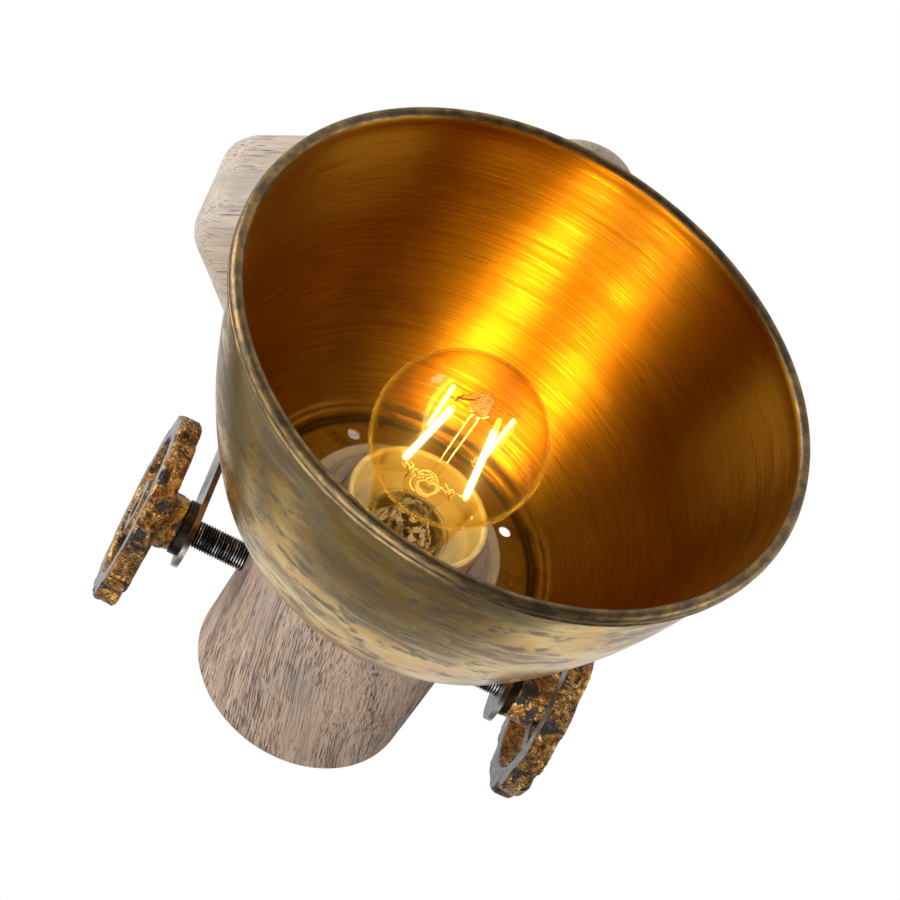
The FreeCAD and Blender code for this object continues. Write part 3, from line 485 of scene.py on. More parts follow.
# shade: spun brass, one material for the golden inside and one for the patinated outside
def shade_inside():
    m = Mat("shade_inside")
    p = m.coords()
    x, y, z = m.xyz(p)[:3]
    # concentric scratches: long around the axis, thin along the wall
    fine = m.noise(m.scaled(p, (0.040, 0.040, 4.4)), 1.0, 3.0, 0.6)
    mid = m.noise(m.scaled(p, (0.026, 0.026, 1.55), (4, 2, 7)), 1.0, 4.0, 0.62)
    slow = m.noise(m.scaled(p, (0.016, 0.016, 0.05), (8, 5, 1)), 1.0, 4.0, 0.55)
    # on the flat floor the height is constant, so the lines there follow the radius
    r = m.math("SQRT", m.math("ADD", m.math("MULTIPLY", x, x), m.math("MULTIPLY", y, y)))
    q = m.join(m.math("MULTIPLY", x, 0.03), m.math("MULTIPLY", y, 0.03), m.math("MULTIPLY", r, 2.2))
    floor_lines = m.noise(q, 1.0, 4.0, 0.6)
    on_floor = m.ramp(z, 47.0, 45.0)
    lines = m.mix(on_floor, fine, floor_lines)
    col = m.mix(m.ramp(mid, 0.30, 0.72), (0.88, 0.475, 0.034), (0.62, 0.275, 0.012))
    col = m.mix(m.math("MULTIPLY", m.ramp(lines, 0.52, 0.74), 0.6), col, (0.26, 0.105, 0.005))
    col = m.mix(m.math("MULTIPLY", m.ramp(slow, 0.45, 0.75), 0.40), col, (0.42, 0.165, 0.007))
    # darker staining on the floor, and painted shade in the groove at the foot of the floor's bead
    stain = m.noise(m.scaled(p, (0.12, 0.12, 0.4), (1, 9, 3)), 1.0, 5.0, 0.65)
    groove_shade = m.math("MULTIPLY", m.ramp(m.math("ABSOLUTE", m.math("SUBTRACT", r, 50.2)), 2.3, 0.7), on_floor)
    col = m.mix(m.math("MULTIPLY", groove_shade, 0.85), col, (0.07, 0.035, 0.008))
    col = m.mix(m.math("MULTIPLY", m.math("MULTIPLY", m.ramp(stain, 0.5, 0.68), on_floor), 0.55), col, (0.16, 0.07, 0.012))
    # painted shade: the upper wall on one side of the axis is darkened, broken up by cloudy noise
    side_ = m.math("DIVIDE", m.math("ADD", m.math("MULTIPLY", x, 0.857), m.math("MULTIPLY", y, 0.515)), m.math("MAXIMUM", r, 1.0))
    cloudy = m.noise(m.scaled(p, (0.03, 0.03, 0.05), (3, 3, 9)), 1.0, 4.0, 0.6)
    painted_side_shade = m.math("MULTIPLY", m.ramp(m.math("MULTIPLY_ADD", cloudy, 0.5, m.math("SUBTRACT", side_, 0.25)), 0.62, 0.98), m.ramp(z, 70.0, 95.0))
    col = m.mix(m.math("MULTIPLY", painted_side_shade, 0.62), col, (0.30, 0.115, 0.008))
    h = m.math("ADD", m.math("MULTIPLY", fine, 0.6), m.math("MULTIPLY", mid, 0.8))
    nrm = m.bump(h, 0.00006, 0.5)
    rough = m.ramp(mid, 0.3, 0.7, 0.26, 0.38)
    tan = m.node("ShaderNodeTangent", direction_type="RADIAL", axis="Z")
    m.principled(col, rough, 1.0, nrm, Anisotropic=0.86, Anisotropic_Rotation=0.25, Tangent=tan.outputs[0])
    return m


def shade_outside():
    m = Mat("shade_outside")
    p = m.coords()
    x, y, z = m.xyz(p)[:3]
    warp = m.noise(m.scaled(p, (0.03,) * 3), 1.0, 2.0, color=True)
    add = m.node("ShaderNodeVectorMath", operation="MULTIPLY_ADD")
    m.plug(warp, add.inputs[0])
    add.inputs[1].default_value = (12.0, 12.0, 12.0)
    m.plug(p, add.inputs[2])
    w = add.outputs[0]
    cloud = m.noise(m.scaled(w, (0.030, 0.030, 0.055), (3, 1, 2)), 1.0, 5.0, 0.60)
    blotch = m.noise(m.scaled(w, (0.085, 0.085, 0.135), (13, 4, 8)), 1.0, 6.0, 0.62)
    smear = m.noise(m.scaled(w, (0.025, 0.025, 0.42), (7, 3, 5)), 1.0, 5.0, 0.62)
    fine = m.noise(m.scaled(p, (0.05, 0.05, 2.6), (2, 2, 2)), 1.0, 3.0, 0.6)
    warm = m.noise(m.scaled(w, (0.040, 0.040, 0.10), (23, 14, 5)), 1.0, 5.0, 0.6)
    col = m.mix(m.ramp(warm, 0.40, 0.60), (0.97, 0.67, 0.20), (0.83, 0.48, 0.105))
    col = m.mix(m.math("MULTIPLY", m.ramp(smear, 0.50, 0.68), 0.55), col, (0.90, 0.76, 0.47))
    dark = m.math("MAXIMUM", m.math("MULTIPLY", m.ramp(cloud, 0.45, 0.62), 0.82), m.math("MULTIPLY", m.ramp(blotch, 0.49, 0.62), 0.95))
    dark = m.math("MULTIPLY", dark, m.ramp(smear, 0.68, 0.44, 0.45, 1.0))
    dark = m.math("MULTIPLY", dark, m.ramp(fine, 0.25, 0.60, 0.70, 1.0))
    col = m.mix(m.math("MULTIPLY", dark, 0.86), col, (0.135, 0.128, 0.130))
    col = m.mix(m.math("MULTIPLY", m.ramp(fine, 0.56, 0.72), 0.30), col, (0.24, 0.15, 0.045))
    # the hem is browner, and worn dark along its turned edge
    col = m.mix(m.ramp(z, 141.5, 143.5, 0.0, 0.80), col, (0.34, 0.205, 0.080))
    edge = m.ramp(z, 143.6, 145.4)
    hem = m.noise(m.scaled(p, (0.16, 0.16, 0.5), (5, 7, 1)), 1.0, 5.0, 0.65)
    col = m.mix(m.math("MULTIPLY", edge, m.ramp(hem, 0.36, 0.62, 0.15, 0.85)), col, (0.10, 0.078, 0.052))
    rough = m.math("MAXIMUM", m.ramp(dark, 0.0, 1.0, 0.19, 0.34), m.ramp(z, 141.5, 144.0, 0.0, 0.40))
    h = m.math("ADD", m.math("MULTIPLY", fine, 0.5), m.math("MULTIPLY", blotch, 0.8))
    nrm = m.bump(h, 0.00011, 0.45)
    tan = m.node("ShaderNodeTangent", direction_type="RADIAL", axis="Z")
    m.principled(col, rough, 0.94, nrm, Anisotropic=0.35, Anisotropic_Rotation=0.25, Tangent=tan.outputs[0],
                 Coat_Weight=0.12, Coat_Roughness=0.16, Coat_IOR=1.5)
    return m


def cast_gold(seed):
    m = Mat("cast_gold_%d" % seed)
    p = m.coords()
    tc = m.node("ShaderNodeTexCoord")
    nz = m.math("ABSOLUTE", m.xyz(tc.outputs["Normal"])[2])
    big = m.noise(m.scaled(p, (0.085,) * 3, (seed, 1, 2)), 1.0, 3.0, 0.55)
    wide = m.noise(m.scaled(p, (0.17,) * 3, (seed, 15, 4)), 1.0, 4.0, 0.6, 0.6)
    mid = m.noise(m.scaled(p, (0.50,) * 3, (seed, 5, 3)), 1.0, 5.0, 0.66, 0.8)
    small = m.noise(m.scaled(p, (1.25,) * 3, (seed, 7, 9)), 1.0, 3.0, 0.6, 0.6)
    tiny = m.noise(m.scaled(p, (2.9,) * 3, (seed, 2, 8)), 1.0, 2.0, 0.5)
    rough_area = m.ramp(big, 0.47, 0.60)
    # bright gold paint, browner where it is thin
    col = m.mix(m.ramp(wide, 0.40, 0.60), (0.62, 0.345, 0.100), (0.30, 0.130, 0.034))
    # painted highlights: pale gold-white glints on the ridges of the casting, mostly in the rough areas
    col = m.mix(m.math("MULTIPLY", m.ramp(mid, 0.55, 0.63), m.ramp(rough_area, 0.0, 1.0, 0.45, 0.9, "LINEAR")), col, (1.0, 0.78, 0.42))
    # dark iron shows in the pits, thick in some places and missing in others
    speck = m.ramp(m.math("ADD", m.math("MULTIPLY", small, 0.6), m.math("MULTIPLY", tiny, 0.4)), 0.522, 0.560)
    blot = m.ramp(m.noise(m.scaled(p, (0.135,) * 3, (seed, 11, 6)), 1.0, 5.0, 0.62, 0.6), 0.545, 0.575)
    black = m.math("MAXIMUM", m.math("MULTIPLY", speck, m.ramp(rough_area, 0.0, 1.0, 0.0, 0.9, "LINEAR")), blot)
    col = m.mix(m.math("MULTIPLY", black, 0.94), col, m.mix(m.ramp(tiny, 0.45, 0.6), (0.022, 0.022, 0.026), (0.075, 0.085, 0.110)))
    # the flat faces are wiped back to grey metal
    flat = m.math("MULTIPLY", m.ramp(nz, 0.88, 0.965), m.ramp(mid, 0.70, 0.60))
    col = m.mix(m.math("MULTIPLY", flat, 0.92), col, (0.56, 0.56, 0.58))
    metal = m.ramp(black, 0.0, 1.0, 1.0, 0.60, "LINEAR")
    rough = m.ramp(black, 0.0, 1.0, 0.12, 0.33, "LINEAR")
    rough = m.mix(flat, rough, (0.36, 0.36, 0.36))
    h = m.math("MULTIPLY_ADD", small, m.ramp(rough_area, 0.0, 1.0, 0.02, 0.42, "LINEAR"), m.math("ADD", m.math("MULTIPLY", mid, m.ramp(rough_area, 0.0, 1.0, 0.40, 1.0, "LINEAR")), m.math("MULTIPLY", black, -0.24)))
    m.principled(col, rough, metal, m.bump(h, 0.0015, m.math("SUBTRACT", 0.95, m.math("MULTIPLY", flat, 0.7))))
    return m


def thin_glass(name, tint, edge, f0, f90, power=6.0, tint_power=3.0, haze=(0.0, 0.0), rough=0.004):
    """Clear blown glass: passes light straight through; along its outline it is deeper in colour, mirrors, and glows a little."""
    m = Mat(name)
    f = m.node("ShaderNodeLayerWeight")
    f.inputs["Blend"].default_value = 0.5
    facing = f.outputs["Facing"]
    t = m.node("ShaderNodeBsdfTransparent")
    m.plug(m.mix(m.math("POWER", facing, tint_power), tint, edge), t.inputs[0])
    g = m.node("ShaderNodeBsdfGlossy")
    g.inputs["Color"].default_value = (1, 1, 1, 1)
    g.inputs["Roughness"].default_value = rough
    fac = m.math("MULTIPLY_ADD", m.math("POWER", facing, power), f90 - f0, f0, clamp=True)
    mx = m.node("ShaderNodeMixShader")
    m.plug(fac, mx.inputs[0])
    m.plug(t.outputs[0], mx.inputs[1])
    m.plug(g.outputs[0], mx.inputs[2])
    last = mx.outputs[0]
    if haze[1] > 0:
        d = m.node("ShaderNodeBsdfTranslucent")
        d.inputs["Color"].default_value = (1.0, 0.76, 0.20, 1)
        hz = m.node("ShaderNodeMixShader")
        m.plug(m.math("MULTIPLY_ADD", m.math("POWER", facing, 9.0), haze[1], haze[0], clamp=True), hz.inputs[0])
        m.plug(last, hz.inputs[1])
        m.plug(d.outputs[0], hz.inputs[2])
        last = hz.outputs[0]
    m.plug(last, m.out.inputs["Surface"])
    return m


M_BLOCK, _, _ = wood("block_wood", None, 0, (0.75, 0.635, 0.525), (0.62, 0.505, 0.41), (0.42, 0.40, 0.36), (0.20, 0.15, 0.12), 3.0, 0.30)
M_IN = shade_inside()
M_OUT = shade_outside()
M_WHEEL_L = cast_gold(2)
M_WHEEL_R = cast_gold(6)
M_GLASS = thin_glass("bulb_clear", (0.985, 0.940, 0.790), (0.80, 0.66, 0.36), 0.0045, 0.40, haze=(0.004, 0.42), rough=0.018)


# ------------------------------------------------------------------ camera, at the photo's angle
cam = bpy.data.objects.new("camera", bpy.data.cameras.new("camera"))
scene.collection.objects.link(cam)
cam.data.lens, cam.data.sensor_width = 144.0, 36.0
cam.data.clip_start, cam.data.clip_end = 0.05, 60.0
cam.matrix_world = Matrix((
    (0.929697, -0.043929, 0.365695, 0.4895455),
    (0.246545, -0.663407, -0.706475, -0.9141212),
    (0.273639, 0.746969, -0.605937, -0.8672174),
    (0, 0, 0, 1)))
scene.camera = cam


# ------------------------------------------------------------------ base block
def block_mesh():
    bm = bmesh.new()
    bmesh.ops.create_cube(bm, size=1)
    for v in bm.verts:
        v.co = Vector((v.co.x * 160, v.co.y * 160, v.co.z * 48 - 24))
    up = [e for e in bm.edges if abs((e.verts[0].co - e.verts[1].co).z) > 1]
    bmesh.ops.bevel(bm, geom=up, offset=20, segments=14, profile=0.5, affect="EDGES", clamp_overlap=False)
    low = [e for e in bm.edges if all(abs(v.co.z + 48) < 1e-4 for v in e.verts)]
    bmesh.ops.bevel(bm, geom=low, offset=9.5, segments=8, profile=0.5, affect="EDGES", clamp_overlap=False)
    top = [e for e in bm.edges if all(abs(v.co.z) < 1e-4 for v in e.verts)]
    bmesh.ops.bevel(bm, geom=top, offset=8, segments=7, profile=0.5, affect="EDGES", clamp_overlap=False)
    me = to_mesh(bm, "base_block_wood")
    rb = bmesh.new()
    bmesh.ops.create_cube(rb, size=1)
    for v in rb.verts:
        v.co = Vector((v.co.x * 116, v.co.y * 72, v.co.z * 44 - 12))
    up = [e for e in rb.edges if abs((e.verts[0].co - e.verts[1].co).z) > 1]
    bmesh.ops.bevel(rb, geom=up, offset=8, segments=6, profile=0.5, affect="EDGES", clamp_overlap=False)
    cutters = [to_mesh(rb, "recess"), rod_mesh(5.2, (0, 0, -50), (0, 0, -30), 40)]
    for s in (-1, 1):
        cutters.append(rod_mesh(2.3, (50 * s, 0, -50), (50 * s, 0, -30), 24))
        cutters.append(rod_mesh(4.6, (50 * s, 0, -50), (50 * s, 0, -42), 32))
    me = boolean(me, cutters)
    bm = bmesh.new()
    bm.from_mesh(me)
    # cross lines, so that the planed faces can be a little uneven
    for axis, lo, hi in ((0, -76, 76), (1, -76, 76), (2, -44, -4)):
        k = lo
        while k <= hi:
            co = [0, 0, 0]
            co[axis] = k * MM
            no = [0, 0, 0]
            no[axis] = 1
            bmesh.ops.bisect_plane(bm, geom=bm.verts[:] + bm.edges[:] + bm.faces[:], dist=1e-7, plane_co=co, plane_no=no)
            k += 8
    bm.normal_update()
    for v in bm.verts:
        p = v.co / MM
        if abs(p.x) < 59 and abs(p.y) < 37:
            continue
        if p.z > -1:
            continue
        d = noise.noise(p * 0.022 + Vector((3, 1, 5))) * 0.35 + noise.noise(p * 0.06) * 0.12
        v.co -= v.normal * (abs(d)) * MM
    me = bpy.data.meshes.new("base_block_wood")
    bm.to_mesh(me)
    bm.free()
    return me


block = link("base_block_wood", block_mesh(), ROOT, "base", "base_block", slot="block_wood", sharp=40)
wear(block, M_BLOCK)


# ------------------------------------------------------------------ wooden cup
def cup_mesh():
    prof = corner([(5.5, -44, 0.6), (40, -44, 3.2), (40, 42, 0.5), (24.6, 42), (24.6, 11), (14, 11), (14, -24), (5.5, -24)], steps=7)
    dense = []
    for i, (r, z) in enumerate(prof):
        r2, z2 = prof[(i + 1) % len(prof)]
        n = max(1, int(math.hypot(r2 - r, z2 - z) / 6)) if (r > 30 or r2 > 30) else 1
        for k in range(n):
            dense.append((r + (r2 - r) * k / n, z + (z2 - z) * k / n))

    def shift(a, r, z):
        if r < 30:
            return r, z
        d = abs(noise.noise(Vector((math.cos(a) * 1.3, math.sin(a) * 1.3, z * 0.03)))) * 0.28
        return r - d, z

    me = to_mesh(lathe_bm(dense, 160, shift=shift), "cup")
    cutters = [rod_mesh(5.05, (-45, 0, 0), (45, 0, 0), 40)]
    for s in (-1, 1):
        cutters.append(rod_mesh(1.75, (0, 33.8 * s, 20), (0, 33.8 * s, 43), 20))
    return boolean(me, cutters)


cup = link("cup_turned", cup_mesh(), HEAD, "head", "wood_cup", slot="cup_wood", sharp=40)
M_CUP, _, _ = wood("cup_wood", None, 2, (0.73, 0.53, 0.395), (0.50, 0.355, 0.27), (0.38, 0.34, 0.305), (0.040, 0.028, 0.024), 41.0, 0.9, fine=1.9, turned=(40.0, 0.29))
wear(cup, M_CUP)


# ------------------------------------------------------------------ shade
def shade_mesh():
    # outside, from the hole's edge outwards and up to the hem
    wall = [(57.9, 46.1), (63.5, 52.7), (70.1, 61.4), (78.6, 77.8), (86.0, 95.6), (91.7, 113.4), (95.3, 127.4), (97.9, 138.6), (98.7, 143.0)]
    out = [(24.4, 42.0), (36.0, 42.0), (47.0, 42.0)]
    out += curve_through([(48.4, 42.0), (49.6, 41.95), (50.6, 42.5), (51.8, 44.0), (53.4, 44.9), (55.2, 44.7), (56.4, 45.0)], 0.5)
    out += curve_through(wall, 2.0)
    hem = curve_through([(98.9, 144.2), (99.6, 144.75), (100.8, 144.8), (101.55, 145.4), (101.75, 146.3), (101.45, 146.95),
                         (101.85, 147.5), (102.0, 148.4), (101.7, 149.6), (100.9, 150.5), (99.8, 150.8), (98.7, 150.5),
                         (97.9, 149.7), (97.5, 148.4), (97.5, 147.2), (97.72, 146.0)], 0.35)
    inn = [(a - 1.0 * s, b + 1.0 * c) for (a, b), (s, c) in zip(wall[::-1], [(1, 0), (0.99, 0.15), (0.96, 0.27), (0.95, 0.30), (0.93, 0.37), (0.87, 0.5), (0.80, 0.6), (0.74, 0.67), (0.66, 0.75)])]
    inner = curve_through(inn, 2.0)
    bead = curve_through([(56.2, 45.75), (55.2, 45.55), (54.2, 45.95), (53.2, 45.9), (52.2, 45.1), (51.3, 43.6), (50.5, 42.95), (49.7, 43.0), (48.6, 43.0)], 0.4)
    prof = out + hem + inner + bead + [(47.0, 43.0), (36.0, 43.0), (24.4, 43.0)]
    n_out = len(out) + int(len(hem) * 0.80)

    def shift(a, r, z):
        # a spun sheet is never quite true
        k = max(0.0, min(1.0, (r - 60) / 40))
        d = noise.noise(Vector((math.cos(a) * 0.9, math.sin(a) * 0.9, z * 0.012))) * 0.45 * k
        d += noise.noise(Vector((math.cos(a) * 2.6, math.sin(a) * 2.6, z * 0.03 + 7))) * 0.13 * k
        if r > 101:
            d = -abs(d)
        return r + d * 0.8, z

    n = 288
    bm = lathe_bm(prof, n, shift=shift)
    bm.faces.ensure_lookup_table()
    for i, f in enumerate(bm.faces):
        f.material_index = 0 if (i // n) < n_out else 1
    bmesh.ops.recalc_face_normals(bm, faces=bm.faces)
    bmesh.ops.scale(bm, vec=(MM,) * 3, verts=bm.verts)
    me = bpy.data.meshes.new("shade")
    bm.to_mesh(me)
    bm.free()
    me.materials.append(M_OUT.m)
    me.materials.append(M_IN.m)
    cutters = []
    for k in range(4):
        a = rad(36.4 + 90 * k)
        cutters.append(rod_mesh(2.35, (44 * math.cos(a), 44 * math.sin(a), 38), (44 * math.cos(a), 44 * math.sin(a), 50), 32))
    for s in (-1, 1):
        cutters.append(rod_mesh(1.95, (0, 33.8 * s, 38), (0, 33.8 * s, 46), 24))
    for c in cutters:
        c.materials.append(M_OUT.m)
    return boolean(me, cutters)


shade = link("shade_spun", shade_mesh(), HEAD, "head", "shade", slot="shade_brass", sharp=50)


# ------------------------------------------------------------------ lampholder
def porcelain(name, color, seed=0.0):
    m = Mat(name)
    p = m.coords()
    a = m.noise(m.scaled(p, (0.12,) * 3, (seed, 0, 0)), 1.0, 4.0, 0.55)
    b = m.noise(m.scaled(p, (1.6,) * 3, (seed, 4, 0)), 1.0, 3.0, 0.5)
    col = m.mix(m.math("MULTIPLY", m.ramp(a, 0.35, 0.7), 0.35), color, tuple(c * 0.80 for c in color))
    m.principled(col, m.ramp(a, 0.3, 0.7, 0.26, 0.40), 0.0, m.bump(b, 0.00005, 0.4), Subsurface_Weight=0.08,
                 Subsurface_Radius=(0.004, 0.003, 0.002), Coat_Weight=0.25, Coat_Roughness=0.12)
    return m


M_WHITE = porcelain("holder_white", (0.80, 0.795, 0.785))


def holder_mesh():
    p = [(0, 13), (24, 13, 0.8), (24, 43), (37.3, 43, 0.4), (37.3, 47.8, 1.6), (33.0, 47.8), (32.4, 47.1, 0.2), (31.6, 47.1, 0.2), (31.0, 47.8),
         (29, 47.8, 0.3), (29, 49, 0.4), (25.9, 49, 0.3), (25.9, 53.8, 0.15), (25.4, 54.2, 0.15), (25.4, 55.0, 0.15), (25.9, 55.4, 0.15),
         (25.9, 62.2, 1.1), (23.3, 62.2, 0.9), (23.3, 50.5, 1.0), (19.5, 50.5, 0.3), (19.5, 51.6, 0.3), (15.4, 51.6, 0.4), (15.4, 50.5, 0.2),
         (14.3, 50.5, 0.2), (14.3, 22), (0, 22)]
    me = to_mesh(lathe_bm(corner(p, closed=False, steps=5), 144, closed=False), "holder")
    cutters = []
    for s in (-1, 1):
        cutters.append(rod_mesh(1.95, (0, 33.8 * s, 40), (0, 33.8 * s, 50), 24))
        cutters.append(rod_mesh(2.05, (9 * s, 0, 12), (9 * s, 0, 18), 24))
    return boolean(me, cutters)


holder = link("lampholder", holder_mesh(), HEAD, "head", "lampholder_body", slot="holder_white", sharp=38)
wear(holder, M_WHITE)


def holder_ring_mesh():
    p = [(26.1, 49.1, 0.3), (30.6, 49.1, 0.4), (30.6, 51.4, 0.3), (29.6, 53.1, 0.5), (26.1, 53.1, 0.4)]
    me = to_mesh(lathe_bm(corner(p, steps=4), 144), "holder_ring")
    cutters = []
    for k in range(6):
        m = Matrix.Rotation(rad(60 * k + 20), 4, "Z")
        cutters.append(box_mesh((28.6, -2.5, 48), (32, 2.5, 54), matrix=m))
    # gripping ribs between the notches
    for k in range(36):
        if k % 6 in (2,):
            continue
        a = rad(10 * k)
        cutters.append(rod_mesh(0.45, (30.75 * math.cos(a), 30.75 * math.sin(a), 48.5), (30.75 * math.cos(a), 30.75 * math.sin(a), 54), 8))
    return boolean(me, cutters)


ring = link("lampholder_ring", holder_ring_mesh(), HEAD, "head", "holder_ring", slot="holder_white", sharp=35)
wear(ring, M_WHITE)


def shell_mesh():
    """Screw shell of the holder, rolled from thin brass."""
    n, rows = 96, []
    for i in range(0, 83):
        z = 30.0 + 20.4 * i / 82
        rows.append(z)
    bm = bmesh.new()

    def grid(base, flip):
        R = []
        for z in rows:
            row = []
            for k in range(n):
                a = 2 * math.pi * k / n
                ph = 2 * math.pi * (z / 3.629) - a
                fade = min(1.0, (z - 30.0) / 2.0, (50.4 - z) / 1.5)
                r = base + 0.18 * math.cos(ph) * max(0.0, fade)
                row.append(bm.verts.new((r * math.cos(a), r * math.sin(a), z)))
            R.append(row)
        for i in range(len(R) - 1):
            for k in range(n):
                bm.faces.new((R[i][k], R[i][(k + 1) % n], R[i + 1][(k + 1) % n], R[i + 1][k]))
        return R

    A, B = grid(14.0, False), grid(13.62, True)
    for i in (0, -1):
        for k in range(n):
            bm.faces.new((A[i][k], A[i][(k + 1) % n], B[i][(k + 1) % n], B[i][k]))
    return to_mesh(bm, "shell")


M_BRASS = plain_metal("contact_brass", (0.80, 0.58, 0.24), 0.28, seed=4.0)
M_NICKEL = plain_metal("cap_metal", (0.72, 0.70, 0.66), 0.22, seed=7.0)
shell = link("holder_shell", shell_mesh(), HEAD, "head", "thread_shell", slot="contact_brass", sharp=60)
wear(shell, M_BRASS)


# ------------------------------------------------------------------ threaded rod
def thread_mesh(r_crest, r_root, pitch, half, n=40, per=8, name="thread", chamfer=1.0):
    """Single-start thread along X, trapezoidal in section, faded out at its chamfered ends."""
    rows = int(round(2 * half / pitch * per))
    bm = bmesh.new()
    R = []
    for i in range(rows + 1):
        x = -half + 2 * half * i / rows
        end = min(half - x, x + half)
        cap = r_crest - max(0.0, chamfer - end) * 1.0
        row = []
        for k in range(n):
            a = 2 * math.pi * k / n
            ph = (x / pitch - a / (2 * math.pi)) % 1.0
            tri = abs(ph * 2 - 1)
            t = min(1.0, max(0.0, (tri - 0.18) / 0.58))
            r = min(r_root + (r_crest - r_root) * t, cap)
            row.append(bm.verts.new((x, r * math.cos(a), r * math.sin(a))))
        R.append(row)
    for i in range(rows):
        for k in range(n):
            bm.faces.new((R[i][k], R[i][(k + 1) % n], R[i + 1][(k + 1) % n], R[i + 1][k]))
    bm.faces.new(R[0])
    bm.faces.new(R[-1][::-1])
    return to_mesh(bm, name)


def rod_material():
    m = Mat("rod_steel")
    p = m.coords()
    x, y, z = m.xyz(p)[:3]
    r = m.math("SQRT", m.math("ADD", m.math("MULTIPLY", y, y), m.math("MULTIPLY", z, z)))
    n1 = m.noise(m.scaled(p, (1.3, 0.30, 0.30)), 1.0, 4.0, 0.65)
    n2 = m.noise(m.scaled(p, (0.30, 0.16, 0.16), (4, 4, 4)), 1.0, 4.0, 0.6)
    each = m.noise(m.scaled(p, (0.95, 0.10, 0.10), (9, 1, 1)), 1.0, 1.0, 0.5)
    # painted highlight on the thread crests, brighter on some ridges than on others, and painted shade in the roots
    # between them
    crest_highlight = m.ramp(m.math("ADD", r, m.math("MULTIPLY", n1, 0.30)), 4.84, 5.10)
    crest_highlight = m.math("MULTIPLY", crest_highlight, m.ramp(each, 0.40, 0.60, 0.12, 1.0))
    col = m.mix(crest_highlight, (0.030, 0.030, 0.034), (0.82, 0.82, 0.85))
    col = m.mix(m.math("MULTIPLY", m.ramp(n2, 0.50, 0.60), 0.80), col, (0.020, 0.020, 0.024))
    m.principled(col, m.ramp(n1, 0.3, 0.7, 0.20, 0.38), 1.0, m.bump(n1, 0.00012, 0.7))
    return m


M_ROD = rod_material()
rod = link("rod_threaded", thread_mesh(5.0, 4.42, 1.0, 81.4, n=48, per=7, name="rod"), HEAD, "head", "threaded_rod", slot="rod_steel", sharp=None)
wear(rod, M_ROD)


# ------------------------------------------------------------------ handwheels, cast
def wheel_mesh(seed):
    """Hub, three spokes and a scalloped rim, fused and rounded like a casting. +Z is outwards."""
    H0 = 65.45
    hub = to_mesh(lathe_bm(corner([(3.6, H0, 0), (9.6, H0, 0.6), (10.1, H0 + 5.5, 0.5), (10.9, H0 + 8.2, 1.5), (10.6, H0 + 16.6, 1.4), (3.6, H0 + 16.6, 0)], steps=4), 96), "hub")
    n = 360

    def rim_shift(a, r, z):
        # twelve shallow finger scallops, not all alike
        k = a * 12 / (2 * math.pi)
        c = abs(((k + 0.5) % 1.0) - 0.5) * 2  # 0 in the scallop's middle, 1 on the lobe
        depth = 1.8 + 0.55 * math.sin(5.0 * a + seed) + 0.4 * math.sin(3 * a + 2 * seed)
        lobe = min(1.0, c / 0.72)
        lobe = lobe * lobe * (3 - 2 * lobe)
        if r > 28:
            r = r - depth * (1 - lobe) * (r - 28) / 6.0
        return r, z

    rim_p = corner([(25.2, H0 + 8.2, 1.4), (35.2, H0 + 8.2, 1.5), (35.2, H0 + 16.6, 1.5), (25.2, H0 + 16.6, 1.4)], steps=4)
    rim = to_mesh(lathe_bm(rim_p, n, shift=rim_shift), "rim")
    parts = [hub, rim]
    for k in range(3):
        m = Matrix.Rotation(rad(120 * k), 4, "Z")
        bm = bmesh.new()
        R = []
        for i in range(13):
            x = 7.0 + (27.5 - 7.0) * i / 12
            flare = 1 + 0.45 * (max(0, 11.5 - x) / 4.5) ** 2 + 0.55 * (max(0, x - 22.0) / 5.0) ** 2
            w, h = 3.7 * flare, 2.7 * (1 + 0.15 * (flare - 1))
            zc = H0 + 11.8
            R.append([bm.verts.new((x, w * math.copysign(abs(math.cos(t)) ** 0.7, math.cos(t)),
                                    zc + h * math.copysign(abs(math.sin(t)) ** 0.7, math.sin(t))))
                      for t in [2 * math.pi * j / 28 for j in range(28)]])
        for i in range(12):
            for j in range(28):
                bm.faces.new((R[i][j], R[i][(j + 1) % 28], R[i + 1][(j + 1) % 28], R[i + 1][j]))
        bm.faces.new(R[0][::-1])
        bm.faces.new(R[-1])
        bm.transform(m)
        parts.append(to_mesh(bm, "spoke"))
    # one mesh of overlapping closed pieces, then remeshed into one skin
    bm = bmesh.new()
    for p in parts:
        bm.from_mesh(p)
    me = bpy.data.meshes.new("wheel")
    bm.to_mesh(me)
    bm.free()
    ob = temp(me)
    r = ob.modifiers.new("skin", "REMESH")
    r.mode, r.voxel_size, r.adaptivity = "VOXEL", 0.00055, 0.0
    s = ob.modifiers.new("soft", "SMOOTH")
    s.factor, s.iterations = 0.5, 7
    bpy.context.view_layer.update()
    out = baked(ob)
    drop(ob)
    # rough casting: lumps, pits and a few blobs
    bm = bmesh.new()
    bm.from_mesh(out)
    bm.normal_update()
    off = Vector((seed * 3.1, seed * 1.7, seed * 0.9))
    top = (H0 + 16.75)
    for v in bm.verts:
        p = v.co / MM
        q = p + off
        d = 0.50 * noise.noise(q * 0.17) + 0.34 * noise.noise(q * 0.45) + 0.20 * noise.noise(q * 1.1) + 0.09 * noise.noise(q * 2.3)
        pit = noise.noise(q * 0.9 + Vector((9, 9, 9)))
        d -= 0.45 * max(0.0, pit - 0.24)
        face = abs(v.normal.z)
        if face > 0.93:
            d = d * 0.16 - 0.04
        p = p + v.normal * d
        rr = math.hypot(p.x, p.y)
        if rr > 35.5:
            p.x *= 35.5 / rr
            p.y *= 35.5 / rr
        p.z = min(max(p.z, H0 + 0.02), H0 + 16.83)
        v.co = p * MM
    me = bpy.data.meshes.new("wheel")
    bm.to_mesh(me)
    bm.free()
    # clean threaded bore
    bore = rod_mesh(5.08, (0, 0, H0 - 2), (0, 0, H0 + 19), 48)
    return boolean(me, [bore])


